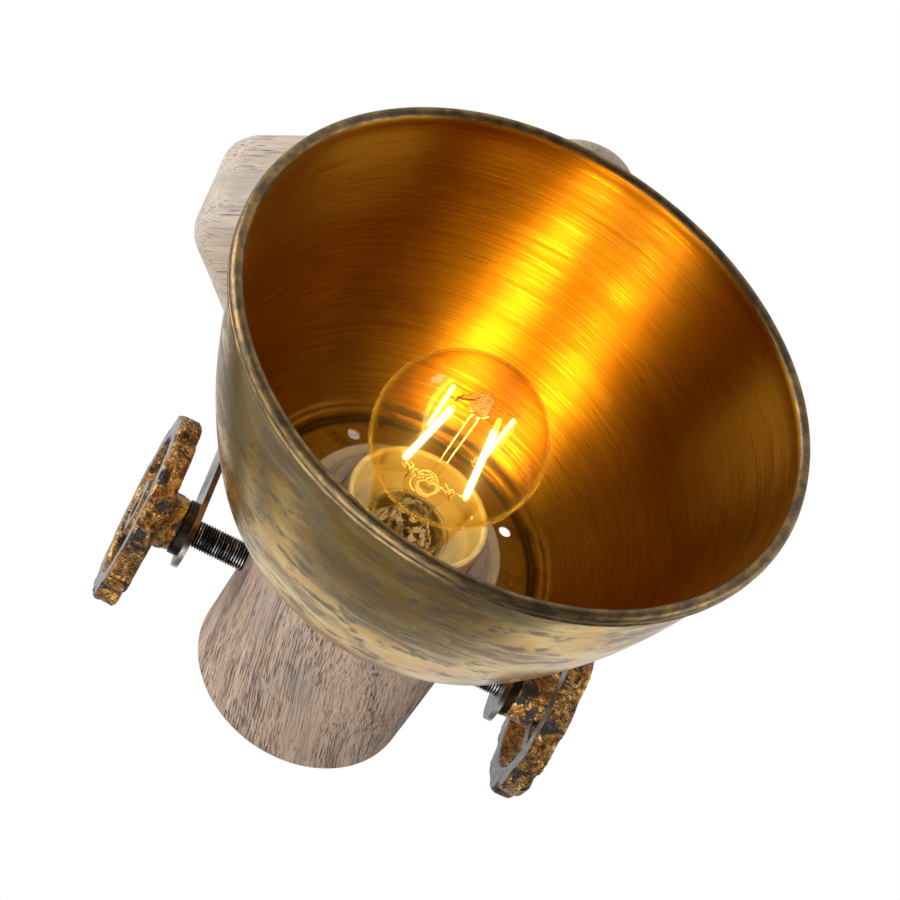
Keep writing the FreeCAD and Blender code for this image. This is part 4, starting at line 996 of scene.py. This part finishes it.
wheel_l = link("wheel_cast_left", wheel_mesh(1.0), side(-1, 15), "wheel_left", "handwheel_left", slot="cast_wheel", sharp=60)
wheel_r = link("wheel_cast_right", wheel_mesh(4.0), side(1, 30), "wheel_right", "handwheel_right", slot="cast_wheel", sharp=60)
wear(wheel_l, M_WHEEL_L)
wear(wheel_r, M_WHEEL_R)


# ------------------------------------------------------------------ bulb
ZC, BR, BW = 100.15, 30.0, 0.8


def lean(z):
    """How far the bulb stands askew at height z."""
    t = max(0.0, min(1.0, (z - 50.0) / 24.0))
    return -2.2 * t * t * (3 - 2 * t)


NECK = [(12.4, 52.6), (13.7, 54.9), (15.7, 59.0), (16.8, 64.0), (17.3, 70.0), (17.6, 73.6)]


def glass_profile(r, inset):
    low = -52
    join = (r * math.cos(rad(low)), ZC + r * math.sin(rad(low)))
    pts = curve_through([(x - inset, z) for x, z in NECK] + [(join[0] - 0.35, join[1] - 0.9), join], 0.6)
    pts = [(NECK[0][0] - inset, 45.0), (NECK[0][0] - inset, 49.0)] + pts
    for d in range(low + 2, 90, 2):
        pts.append((r * math.cos(rad(d)), ZC + r * math.sin(rad(d))))
    pts.append((0.0, ZC + r))
    return pts


bm = lathe_bm(glass_profile(BR, 0.0) + glass_profile(BR - BW, BW)[::-1], 160)
for v in bm.verts:
    v.co.x += lean(v.co.z)
glass = link("bulb_envelope", to_mesh(bm, "envelope"), HEAD, "bulb", "bulb_glass", slot="bulb_glass", sharp=None)
wear(glass, M_GLASS)


def cap_mesh():
    n, bm, R = 96, bmesh.new(), []
    for i in range(0, 89):
        z = 30.5 + 22.0 * i / 88
        row = []
        for k in range(n):
            a = 2 * math.pi * k / n
            fade = max(0.0, min(1.0, (z - 30.6) / 2.0, (50.6 - z) / 1.5))
            r = 12.85 + 0.22 * math.cos(2 * math.pi * z / 3.629 - a) * fade
            if z > 51.2:
                r = 12.85 + (z - 51.2) / 1.3 * 0.45
            row.append(bm.verts.new((r * math.cos(a), r * math.sin(a), z)))
        R.append(row)
    inner = [[bm.verts.new((12.5 * math.cos(2 * math.pi * k / n), 12.5 * math.sin(2 * math.pi * k / n), z)) for k in range(n)]
             for z in (52.5, 30.5)]
    R += inner
    for i in range(len(R)):
        A, B = R[i], R[(i + 1) % len(R)]
        for k in range(n):
            bm.faces.new((A[k], A[(k + 1) % n], B[(k + 1) % n], B[k]))
    return to_mesh(bm, "cap")


cap = link("bulb_cap_screw", cap_mesh(), HEAD, "bulb", "bulb_cap", slot="bulb_cap", sharp=50)
wear(cap, M_NICKEL)


# glass mount: flare, tube, flat press, exhaust rod and a bead that holds the upper wires
def stem_mesh():
    rows = [(11.3, 11.3, 46.0)]
    for r, z in curve_through([(11.4, 46.2), (10.2, 48.6), (7.6, 53.5), (6.0, 58.0), (5.6, 63.0)], 1.0):
        rows.append((r, r, z))
    for a, b, z in ((5.7, 5.3, 65.0), (6.3, 4.6, 67.0), (7.2, 3.4, 69.0), (7.9, 2.6, 70.6), (8.1, 2.3, 72.0), (8.1, 2.2, 73.4),
                    (7.8, 2.1, 74.5), (6.6, 1.9, 75.3), (3.6, 1.7, 75.9), (1.9, 1.6, 76.8)):
        rows.append((a, b, z))
    for z in range(78, 114, 3):
        rows.append((1.55, 1.55, float(z)))
    for r, z in curve_through([(1.6, 114.4), (2.5, 115.4), (3.7, 116.8), (4.15, 118.6), (3.9, 120.4), (2.8, 121.7), (1.2, 122.2)], 0.6):
        rows.append((r, r, z))
    n, bm, R = 72, bmesh.new(), []
    for a, b, z in rows:
        ring_ = []
        for k in range(n):
            t = 2 * math.pi * k / n
            d = 1.0
            if z > 114.2:
                d = 1 + 0.10 * noise.noise(Vector((math.cos(t) * 1.9, math.sin(t) * 1.9, z * 0.5)))
            elif 65.0 < z < 76.0:
                d = 1 + 0.07 * noise.noise(Vector((math.cos(t) * 2.4, math.sin(t) * 2.4, z * 0.7)))
            ring_.append(bm.verts.new((lean(z) + a * d * math.cos(t), b * d * math.sin(t), z)))
        R.append(ring_)
    for i in range(len(R) - 1):
        for k in range(n):
            bm.faces.new((R[i][k], R[i][(k + 1) % n], R[i + 1][(k + 1) % n], R[i + 1][k]))
    bm.faces.new(R[0][::-1])
    bm.faces.new(R[-1])
    for f in bm.faces:
        h = f.calc_center_median().z
        f.material_index = 2 if h < 58.5 else 1 if h > 114.3 else 0
    return to_mesh(bm, "stem")


def solid_glass(name):
    m = Mat(name)
    g = m.node("ShaderNodeBsdfGlass")
    g.inputs["IOR"].default_value = 1.5
    g.inputs["Roughness"].default_value = 0.0
    g.inputs["Color"].default_value = (1, 0.97, 0.92, 1)
    p = m.coords()
    b = m.bump(m.noise(m.scaled(p, (0.62,) * 3), 1.0, 3.0, 0.6, 1.5), 0.0030, 1.0)
    m.plug(b, g.inputs["Normal"])
    t = m.node("ShaderNodeBsdfTransparent")
    lp = m.node("ShaderNodeLightPath")
    mx = m.node("ShaderNodeMixShader")
    either = m.math("MAXIMUM", lp.outputs["Is Shadow Ray"], lp.outputs["Is Diffuse Ray"])
    m.plug(either, mx.inputs[0])
    m.plug(g.outputs[0], mx.inputs[1])
    m.plug(t.outputs[0], mx.inputs[2])
    m.plug(mx.outputs[0], m.out.inputs["Surface"])
    return m


stem = link("bulb_mount", stem_mesh(), HEAD, "bulb", "bulb_stem", slot="bulb_glass", sharp=60)
M_TUBE = thin_glass("mount_tube", (0.99, 0.965, 0.90), (0.80, 0.66, 0.38), 0.012, 0.9, 3.0, 3.0, haze=(0.004, 0.5))


def crinkled():
    """Cement and crumpled foil in the bulb's neck, with painted reflections on its bright facets, painted shade in its
    creases and a painted glow.
    """
    m = Mat("neck_cement")
    p = m.coords()
    warp = m.noise(m.scaled(p, (0.35,) * 3), 1.0, 3.0, 0.6, color=True)
    add = m.node("ShaderNodeVectorMath", operation="MULTIPLY_ADD")
    m.plug(warp, add.inputs[0])
    add.inputs[1].default_value = (2.6, 2.6, 2.6)
    m.plug(p, add.inputs[2])
    w = add.outputs[0]
    cell = m.voronoi(m.scaled(w, (0.42, 0.42, 0.42)), 1.0, "F1", "Color")
    value = m.xyz(cell)[0]
    crease_shade = m.voronoi(m.scaled(w, (0.42, 0.42, 0.42)), 1.0, "DISTANCE_TO_EDGE", "Distance")
    grit = m.noise(m.scaled(p, (1.5,) * 3, (4, 4, 4)), 1.0, 4.0, 0.7)
    col = m.mix(m.ramp(value, 0.30, 0.42), (0.035, 0.022, 0.012), (0.40, 0.30, 0.19))
    # painted reflection: the brightest facets of the foil are painted pale
    col = m.mix(m.ramp(value, 0.55, 0.70), col, (0.90, 0.80, 0.64))
    col = m.mix(m.math("MULTIPLY", m.ramp(grit, 0.56, 0.66), 0.6), col, (0.10, 0.07, 0.04))
    # painted shade in the creases between the facets
    col = m.mix(m.ramp(crease_shade, 0.05, 0.0), col, (0.03, 0.02, 0.012))
    h = m.math("ADD", m.math("MULTIPLY", value, 1.3), m.math("ADD", m.math("MULTIPLY", grit, 0.4), m.ramp(crease_shade, 0.0, 0.12)))
    # painted glow: the foil gives off its own colour a little, though it is no lamp
    m.principled(col, m.ramp(grit, 0.3, 0.7, 0.22, 0.45), 0.25, m.bump(h, 0.0014, 0.9), Emission_Color=col, Emission_Strength=0.22)
    foil = m.out.inputs["Surface"].links[0].from_socket
    t = m.node("ShaderNodeBsdfTransparent")
    t.inputs["Color"].default_value = (0.86, 0.62, 0.30, 1)
    mx = m.node("ShaderNodeMixShader")
    gap = m.math("MULTIPLY", m.ramp(value, 0.46, 0.38), m.ramp(grit, 0.44, 0.52))
    m.plug(gap, mx.inputs[0])
    m.plug(foil, mx.inputs[1])
    m.plug(t.outputs[0], mx.inputs[2])
    m.plug(mx.outputs[0], m.out.inputs["Surface"])
    return m


wear(stem, M_TUBE, thin_glass("mount_bead", (0.995, 0.975, 0.92), (0.92, 0.80, 0.55), 0.03, 0.6, 3.0, 3.0, haze=(0.03, 0.4)), crinkled())

STRIPS = [((-12.9, 3.8, 76.0), (-8.8, 5.7, 107.0)), ((11.1, -0.7, 76.0), (7.0, 9.0, 108.0)),
          ((-10.3, 16.1, 83.0), (-11.6, 11.0, 110.0)), ((11.9, 15.3, 83.0), (11.6, 11.5, 108.0))]


def glow_material(name, color, low, high):
    """Warm light strip."""
    m = Mat(name)
    e = m.node("ShaderNodeEmission")
    p = m.coords()
    g = m.noise(m.scaled(p, (0.6,) * 3), 1.0, 3.0)
    e.inputs["Color"].default_value = (*color, 1)
    m.plug(m.ramp(g, 0.2, 0.8, low, high), e.inputs["Strength"])
    m.plug(e.outputs[0], m.out.inputs["Surface"])
    return m


bm = bmesh.new()
for k, (p, q) in enumerate(STRIPS):
    p, q = Vector(p), Vector(q)
    r = 0.98 if k < 2 else 0.74
    top_ = (0.965, 0.86, 0.965, 0.90)[k]
    cuts = ((0.0, 0.035, 1), (0.035, top_, 0 if k < 2 else 2), (top_, 1.0, 1 if k < 2 else 2))
    for a, b, index in cuts:
        first = len(bm.faces)
        n = max(3, int(24 * (b - a)))
        pts = [p + (q - p) * (a + (b - a) * t / n) for t in range(n + 1)]

        def thin(t, a=a, b=b):
            u = a + (b - a) * t
            return 0.70 + 0.30 * min(1, min(u, 1 - u) * 22)

        tube_along(pts, r, 16, thin, bm)
        bm.faces.ensure_lookup_table()
        for f in bm.faces[first:]:
            f.material_index = index
me = bpy.data.meshes.new("strips")
bmesh.ops.recalc_face_normals(bm, faces=bm.faces)
bmesh.ops.scale(bm, vec=(MM,) * 3, verts=bm.verts)
bm.to_mesh(me)
bm.free()
strips = link("bulb_light_strips", me, HEAD, "bulb", "filaments", slot="light_strip", sharp=60)
wear(strips, glow_material("light_strip", (1.0, 0.68, 0.18), 62.0, 78.0), glow_material("light_strip_end", (1.0, 0.56, 0.07), 1.6, 3.4),
     glow_material("light_strip_back", (1.0, 0.72, 0.26), 3.0, 6.0))

bm = bmesh.new()
LO = [(-9.8, 0.6, 74.4), (6.6, 0.4, 74.4)]
KNOB = Vector((lean(119.0), 0.6, 118.6))
for k, (p, q) in enumerate(STRIPS):
    p, q = Vector(p), Vector(q)
    root = Vector(LO[k % 2])
    front = Vector(STRIPS[k % 2][0])
    up = (q - p).normalized()
    if k < 2:
        mid = (root + p) / 2 + Vector((0, 0, 1.2))
        tube_along(bend_through([root + Vector((0, 0, -3.0)), root, mid, p - up * 1.0, p + up * 0.2]), 0.26, 8, None, bm)
    else:
        # from the front strip's lower end straight back to this one, where the front strip hides it
        tube_along(bend_through([front + Vector((0, 0.2, -0.7)), (front + p) / 2, p + up * 0.2]), 0.16, 8, None, bm)
    away = (Vector((q.x, q.y, 0)) - Vector((KNOB.x, KNOB.y, 0))).normalized()
    top = KNOB + away * 2.6
    out_ = KNOB + away * 6.0 + Vector((0, 0, -2.4 - 0.4 * (k % 2)))
    tube_along(bend_through([top, out_, q + up * 1.3, q - up * 0.2]), 0.17, 8, None, bm)
# the anchor with its small cross piece beside the left strips' upper ends
dark_from = len(bm.faces)
tube_along(bend_through([KNOB + Vector((-3.0, 0.2, 0.2)), Vector((-8.0, 2.4, 115.4)), Vector((-10.3, 3.2, 113.8))]), 0.36, 8, None, bm)
tube_along([Vector((-10.3, 1.9, 113.1)), Vector((-9.3, 3.8, 113.6)), Vector((-8.0, 6.0, 113.5))], 0.36, 8, None, bm)
dark_to = len(bm.faces)


def loop(c, r, axis, start, turn, thick, wobble=0.0, seed=0):
    """Part of a ring of wire round axis, centred on c."""
    axis = Vector(axis).normalized()
    u = axis.orthogonal().normalized()
    w = axis.cross(u)
    n = max(8, int(abs(turn) / 12))
    pts = []
    for i in range(n + 1):
        t = rad(start + turn * i / n)
        k = 1 + wobble * math.sin(3.1 * t + seed)
        pts.append(c + (u * math.cos(t) + w * math.sin(t)) * r * k + axis * (wobble * r * math.sin(2.2 * t + 2 * seed)))
    tube_along(bend_through(pts), thick, 7, None, bm)


bright_from = len(bm.faces)
# the bead on the rod: many fine turns of wire and fused glass threads
for k in range(15):
    a = 2.4 * k
    axis = (math.cos(a), math.sin(a), 0.9 * math.sin(1.7 * k + 0.4))
    loop(KNOB + Vector((0.7 * math.sin(3.3 * k), 0.7 * math.cos(2.1 * k), 0.5 * math.sin(1.3 * k))), 1.5 + 0.20 * (k * 7 % 13), axis,
         40 * k, 250 + 20 * (k % 5), 0.15, 0.10, k)
# rings and pinched loops of the lead wires inside the press
PRESS = Vector((lean(71.0), 2.4, 70.6))
for k in range(6):
    tilt = (0.25 * math.sin(2.2 * k), -0.35 + 0.2 * math.cos(1.4 * k), 1.0)
    loop(PRESS + Vector((0.5 * math.sin(k), 0.5 * math.cos(1.7 * k), 0.45 * (k - 2.5))), 2.2 + 0.52 * k, tilt, 55 * k, 230 + 25 * (k % 3), 0.17, 0.07, k)
for k in range(9):
    x0 = -9.6 + 2.3 * k
    y0 = 3.6 + 0.7 * math.sin(1.9 * k) - 0.16 * x0
    pts = [Vector((lean(73) + x0 + 1.1 * math.sin(1.9 * i + k), y0 + 1.0 * math.cos(2.3 * i + 2 * k), 71.2 + 0.55 * i)) for i in range(6)]
    tube_along(bend_through(pts), 0.17, 6, None, bm)
# the wire turns of the bead and the press take the thread material with its painted glow, the anchor takes the dark
# wire
bm.faces.ensure_lookup_table()
for n_, f in enumerate(bm.faces):
    f.material_index = 1 if dark_from <= n_ < dark_to else 2 if n_ >= bright_from else 0
wires = link("bulb_wires", to_mesh(bm, "wires"), HEAD, "bulb", "lead_wires", slot="wire_nickel", sharp=60)
M_WIRE = plain_metal("wire_nickel", (0.62, 0.44, 0.22), 0.22, seed=3.0)
# fused threads: warm gold with a painted glow (emission), though they are no lamp
M_THREAD_GLOW = Mat("fused_thread")
p = M_THREAD_GLOW.coords()
a = M_THREAD_GLOW.noise(M_THREAD_GLOW.scaled(p, (0.8,) * 3), 1.0, 3.0)
M_THREAD_GLOW.principled(M_THREAD_GLOW.mix(M_THREAD_GLOW.ramp(a, 0.40, 0.60), (1.0, 0.74, 0.34), (0.85, 0.50, 0.16)), M_THREAD_GLOW.ramp(a, 0.3, 0.7, 0.18, 0.32), 0.2, Emission_Color=(1.0, 0.74, 0.32, 1.0), Emission_Strength=0.36)
wear(wires, M_WIRE, plain_metal("anchor_wire", (0.16, 0.075, 0.035), 0.35, seed=8.0), M_THREAD_GLOW)

# ------------------------------------------------------------------ CAD nodes that stay, with finished edges and surfaces
M_YOKE = Mat("yoke_steel")
p = M_YOKE.coords(YOKE)
tc = M_YOKE.node("ShaderNodeTexCoord")
brush = M_YOKE.noise(M_YOKE.scaled(p, (2.2, 2.2, 0.05)), 1.0, 4.0, 0.6)
patch = M_YOKE.noise(M_YOKE.scaled(p, (0.10,) * 3, (5, 5, 5)), 1.0, 5.0, 0.6)
nv = M_YOKE.node("ShaderNodeVectorRotate", rotation_type="Z_AXIS")
M_YOKE.plug(tc.outputs["Normal"], nv.inputs["Vector"])
nv.inputs["Angle"].default_value = -rad(38)
edge = M_YOKE.ramp(M_YOKE.math("ABSOLUTE", M_YOKE.xyz(nv.outputs[0])[1]), 0.35, 0.75)
face = M_YOKE.mix(M_YOKE.math("MULTIPLY", M_YOKE.ramp(brush, 0.3, 0.7), 0.35), (0.72, 0.72, 0.72), (0.48, 0.475, 0.47))
face = M_YOKE.mix(M_YOKE.math("MULTIPLY", M_YOKE.ramp(patch, 0.52, 0.66), 0.6), face, (0.20, 0.15, 0.10))
rim = M_YOKE.mix(M_YOKE.ramp(patch, 0.40, 0.60), (0.235, 0.125, 0.070), (0.080, 0.050, 0.038))
M_YOKE.principled(M_YOKE.mix(edge, face, rim), M_YOKE.ramp(brush, 0.3, 0.7, 0.30, 0.46), 1.0, M_YOKE.bump(brush, 0.00004, 0.5))

M_DARK = plain_metal("dark_steel", (0.040, 0.030, 0.024), 0.42, grain=(1.1,) * 3, amount=0.5, spots=(0.62, (0.16, 0.085, 0.035)), seed=2.0, bump=0.00012)
M_ZINC = plain_metal("zinc_steel", (0.60, 0.60, 0.58), 0.32, grain=(0.9,) * 3, amount=0.3, seed=5.0)


def plastic(name, color, rough, seed=0.0):
    m = Mat(name)
    p = m.coords()
    a = m.noise(m.scaled(p, (0.3,) * 3, (seed, 1, 1)), 1.0, 3.0)
    g = m.noise(m.scaled(p, (5.0,) * 3, (seed, 2, 2)), 1.0, 2.0)
    col = m.mix(m.math("MULTIPLY", a, 0.25), color, tuple(c * 0.75 for c in color))
    m.principled(col, m.ramp(a, 0.3, 0.7, rough - 0.05, rough + 0.08), 0.0, m.bump(g, 0.00004, 0.5))
    return m


M_BLACK = plastic("bush_black", (0.028, 0.028, 0.03), 0.45)
M_TERM = plastic("terminal_white", (0.78, 0.78, 0.75), 0.4, 3.0)
M_VITRITE = plastic("bulb_black", (0.02, 0.02, 0.03), 0.12, 6.0)


def finish_edges(node, width, angle=32.0, segments=2):
    ob = NODES[node]
    b = ob.modifiers.new("edge", "BEVEL")
    b.width, b.segments, b.limit_method, b.angle_limit = width, segments, "ANGLE", rad(angle)
    b.harden_normals = False
    return ob


for node, mat, w in (
        ("yoke_bracket", M_YOKE, 0.0003), ("clamp_washer_left", M_DARK, 0.0004), ("clamp_washer_right", M_DARK, 0.0004),
        ("mounting_strap", M_ZINC, 0.0002), ("block_screws", M_DARK, 0.0002), ("terminal_block", M_TERM, 0.0003),
        ("terminal_screws", M_BRASS, 0.0001), ("swivel_stud", M_ZINC, 0.0002), ("stud_washer_top", M_ZINC, 0.0002),
        ("stud_nut_top", M_ZINC, 0.0002), ("stud_washer_bottom", M_DARK, 0.0002), ("stud_nut_bottom", M_DARK, 0.0002),
        ("stud_bush", M_BLACK, 0.0002), ("holder_screws", M_ZINC, 0.0002), ("centre_contact", M_BRASS, 0.0001),
        ("contact_screws", M_BRASS, 0.0001), ("cup_lead_gland", M_BLACK, 0.0002), ("cup_gland_nut", M_ZINC, 0.0002),
        ("bulb_insulator", M_VITRITE, 0.0002), ("bulb_tip", M_BRASS, 0.0001)):
    wear(finish_edges(node, w), mat)


# ------------------------------------------------------------------ floor, light
def floor():
    bm = bmesh.new()
    bmesh.ops.create_grid(bm, x_segments=1, y_segments=1, size=6.0)
    me = bpy.data.meshes.new("floor")
    bm.to_mesh(me)
    bm.free()
    ob = bpy.data.objects.new("floor", me)
    scene.collection.objects.link(ob)
    ob.location = (0, 0, -1.35)
    m = Mat("floor_paper")
    p = m.coords()
    a = m.noise(m.scaled(p, (0.01,) * 3), 1.0, 3.0)
    lp = m.node("ShaderNodeLightPath")
    pale = m.mix(a, (0.84, 0.84, 0.83), (0.80, 0.80, 0.79))
    m.principled(m.mix(lp.outputs["Is Camera Ray"], (0.16, 0.15, 0.14), pale), 0.9)
    me.materials.append(m.m)


floor()


def area_light(name, at, to, size, power, color=(1, 1, 1)):
    l = bpy.data.lights.new(name, "AREA")
    l.shape, l.size, l.size_y = "RECTANGLE", size[0], size[1]
    l.energy, l.color = power, color
    o = bpy.data.objects.new(name, l)
    scene.collection.objects.link(o)
    o.location = at
    o.rotation_euler = (Vector(to) - Vector(at)).to_track_quat("-Z", "Y").to_euler()
    return o


X = Vector((0.929697, 0.246545, 0.273639))
Y = Vector((-0.043929, -0.663407, 0.746969))
Z = Vector((0.365695, -0.706475, -0.605937))
C = Vector((0.05, -0.05, -0.12))
S = Vector((0.611704, -0.782945, 0.113203))
# a broad soft light from below, along the mouth of the shade, so that it lights the outside and not the inside
area_light("under", C + Vector((-0.35, -0.25, -1.05)), C, (1.0, 1.0), 8)
area_light("key", C - X * 1.0 + Y * 0.95 + Z * 0.02, C, (0.9, 0.9), 11)
area_light("left", C - X * 1.3 - Y * 0.1 + Z * 0.35, C, (0.6, 1.0), 3.5)
area_light("right", C + X * 1.3 - Y * 0.55 + Z * 0.1, C, (0.4, 1.0), 3.4)
# the window that shows in the bulb
window = area_light("window", C - X * 0.53 + Y * 1.41 + Z * 0.06, C, (0.36, 0.28), 10.0)
only = bpy.data.collections.new("window_shows_in")
only.objects.link(glass)
window.light_linking.receiver_collection = only

w = bpy.data.worlds.new("studio")
scene.world = w
w.use_nodes = True
nt = w.node_tree
nt.nodes.clear()
out = nt.nodes.new("ShaderNodeOutputWorld")
tc = nt.nodes.new("ShaderNodeTexCoord")
dot = nt.nodes.new("ShaderNodeVectorMath")
dot.operation = "DOT_PRODUCT"
nt.links.new(tc.outputs["Generated"], dot.inputs[0])
dot.inputs[1].default_value = tuple(Z)
mr = nt.nodes.new("ShaderNodeMapRange")
mr.interpolation_type = "SMOOTHSTEP"
nt.links.new(dot.outputs["Value"], mr.inputs["Value"])
mr.inputs["From Min"].default_value, mr.inputs["From Max"].default_value = -0.15, 0.62
mr.inputs["To Min"].default_value, mr.inputs["To Max"].default_value = 0.70, 0.07
bg1 = nt.nodes.new("ShaderNodeBackground")


def world_dot(v):
    d = nt.nodes.new("ShaderNodeVectorMath")
    d.operation = "DOT_PRODUCT"
    nt.links.new(tc.outputs["Generated"], d.inputs[0])
    d.inputs[1].default_value = tuple(v)
    return d.outputs["Value"]


def world_ramp(value, lo, hi, a, b):
    r = nt.nodes.new("ShaderNodeMapRange")
    r.interpolation_type = "SMOOTHSTEP"
    nt.links.new(value, r.inputs["Value"])
    for key, number in (("From Min", lo), ("From Max", hi), ("To Min", a), ("To Max", b)):
        r.inputs[key].default_value = number
    return r.outputs[0]


def world_math(op, a, b):
    n = nt.nodes.new("ShaderNodeMath")
    n.operation = op
    for k, v in enumerate((a, b)):
        if isinstance(v, float):
            n.inputs[k].default_value = v
        else:
            nt.links.new(v, n.inputs[k])
    return n.outputs[0]


# a dark flag stands behind the lamp on its left and draws the long dark streak down the shade's edge
flag = world_math("MULTIPLY", world_ramp(world_dot(X), -0.66, -0.58, 0.0, 1.0), world_ramp(world_dot(X), -0.40, -0.46, 0.0, 1.0))
flag = world_math("MULTIPLY", flag, world_ramp(world_dot(Y), -0.24, -0.16, 0.0, 1.0))
flag = world_math("MULTIPLY", flag, world_ramp(dot.outputs["Value"], -0.68, -0.76, 0.0, 1.0))
wide_flag = world_math("MULTIPLY", world_ramp(world_dot(X), -0.50, -0.64, 0.0, 0.80), world_ramp(world_dot(Y), -0.50, -0.30, 0.0, 1.0))
wide_flag = world_math("MULTIPLY", wide_flag, world_ramp(dot.outputs["Value"], -0.40, -0.60, 0.0, 1.0))
flag = world_math("MAXIMUM", flag, wide_flag)
keep_ = world_math("MULTIPLY_ADD", flag, -0.98)
keep_.node.inputs[2].default_value = 1.0
# dull surfaces get some fill from the camera's side; shiny ones see it dark
path = nt.nodes.new("ShaderNodeLightPath")
fill = world_ramp(dot.outputs["Value"], -0.15, 0.62, 0.66, 0.34)
pick = nt.nodes.new("ShaderNodeMix")
nt.links.new(path.outputs["Is Diffuse Ray"], pick.inputs[0])
nt.links.new(world_math("MULTIPLY", mr.outputs[0], keep_), pick.inputs[2])
nt.links.new(fill, pick.inputs[3])
nt.links.new(pick.outputs[0], bg1.inputs["Strength"])
bg1.inputs["Color"].default_value = (1, 1, 1, 1)
bg2 = nt.nodes.new("ShaderNodeBackground")
bg2.inputs["Color"].default_value = (1, 1, 1, 1)
bg2.inputs["Strength"].default_value = 1.0
lp = nt.nodes.new("ShaderNodeLightPath")
mx = nt.nodes.new("ShaderNodeMixShader")
nt.links.new(lp.outputs["Is Camera Ray"], mx.inputs[0])
nt.links.new(bg1.outputs[0], mx.inputs[1])
nt.links.new(bg2.outputs[0], mx.inputs[2])
nt.links.new(mx.outputs[0], out.inputs["Surface"])

scene.view_settings.view_transform = "Standard"
scene.view_settings.look = "None"
scene.cycles.use_denoising = True
scene.cycles.max_bounces = 10
scene.cycles.transparent_max_bounces = 16
scene.cycles.transmission_bounces = 10
scene.cycles.glossy_bounces = 6
scene.cycles.diffuse_bounces = 3
scene.cycles.caustics_reflective = True
scene.cycles.caustics_refractive = False
scene.cycles.sample_clamp_indirect = 6.0
scene.cycles.blur_glossy = 0.5

# soft glow round the light strips
scene.use_nodes = True
ct = scene.node_tree
ct.nodes.clear()
layers = ct.nodes.new("CompositorNodeRLayers")
glare = ct.nodes.new("CompositorNodeGlare")
glare.glare_type = "BLOOM"
for key, value in (("Threshold", 1.6), ("Smoothness", 0.3), ("Clamp", True), ("Maximum", 9.0), ("Strength", 0.40), ("Saturation", 1.0), ("Size", 0.22)):
    glare.inputs[key].default_value = value
comp = ct.nodes.new("CompositorNodeComposite")
ct.links.new(layers.outputs["Image"], glare.inputs["Image"])
ct.links.new(glare.outputs["Image"], comp.inputs["Image"])
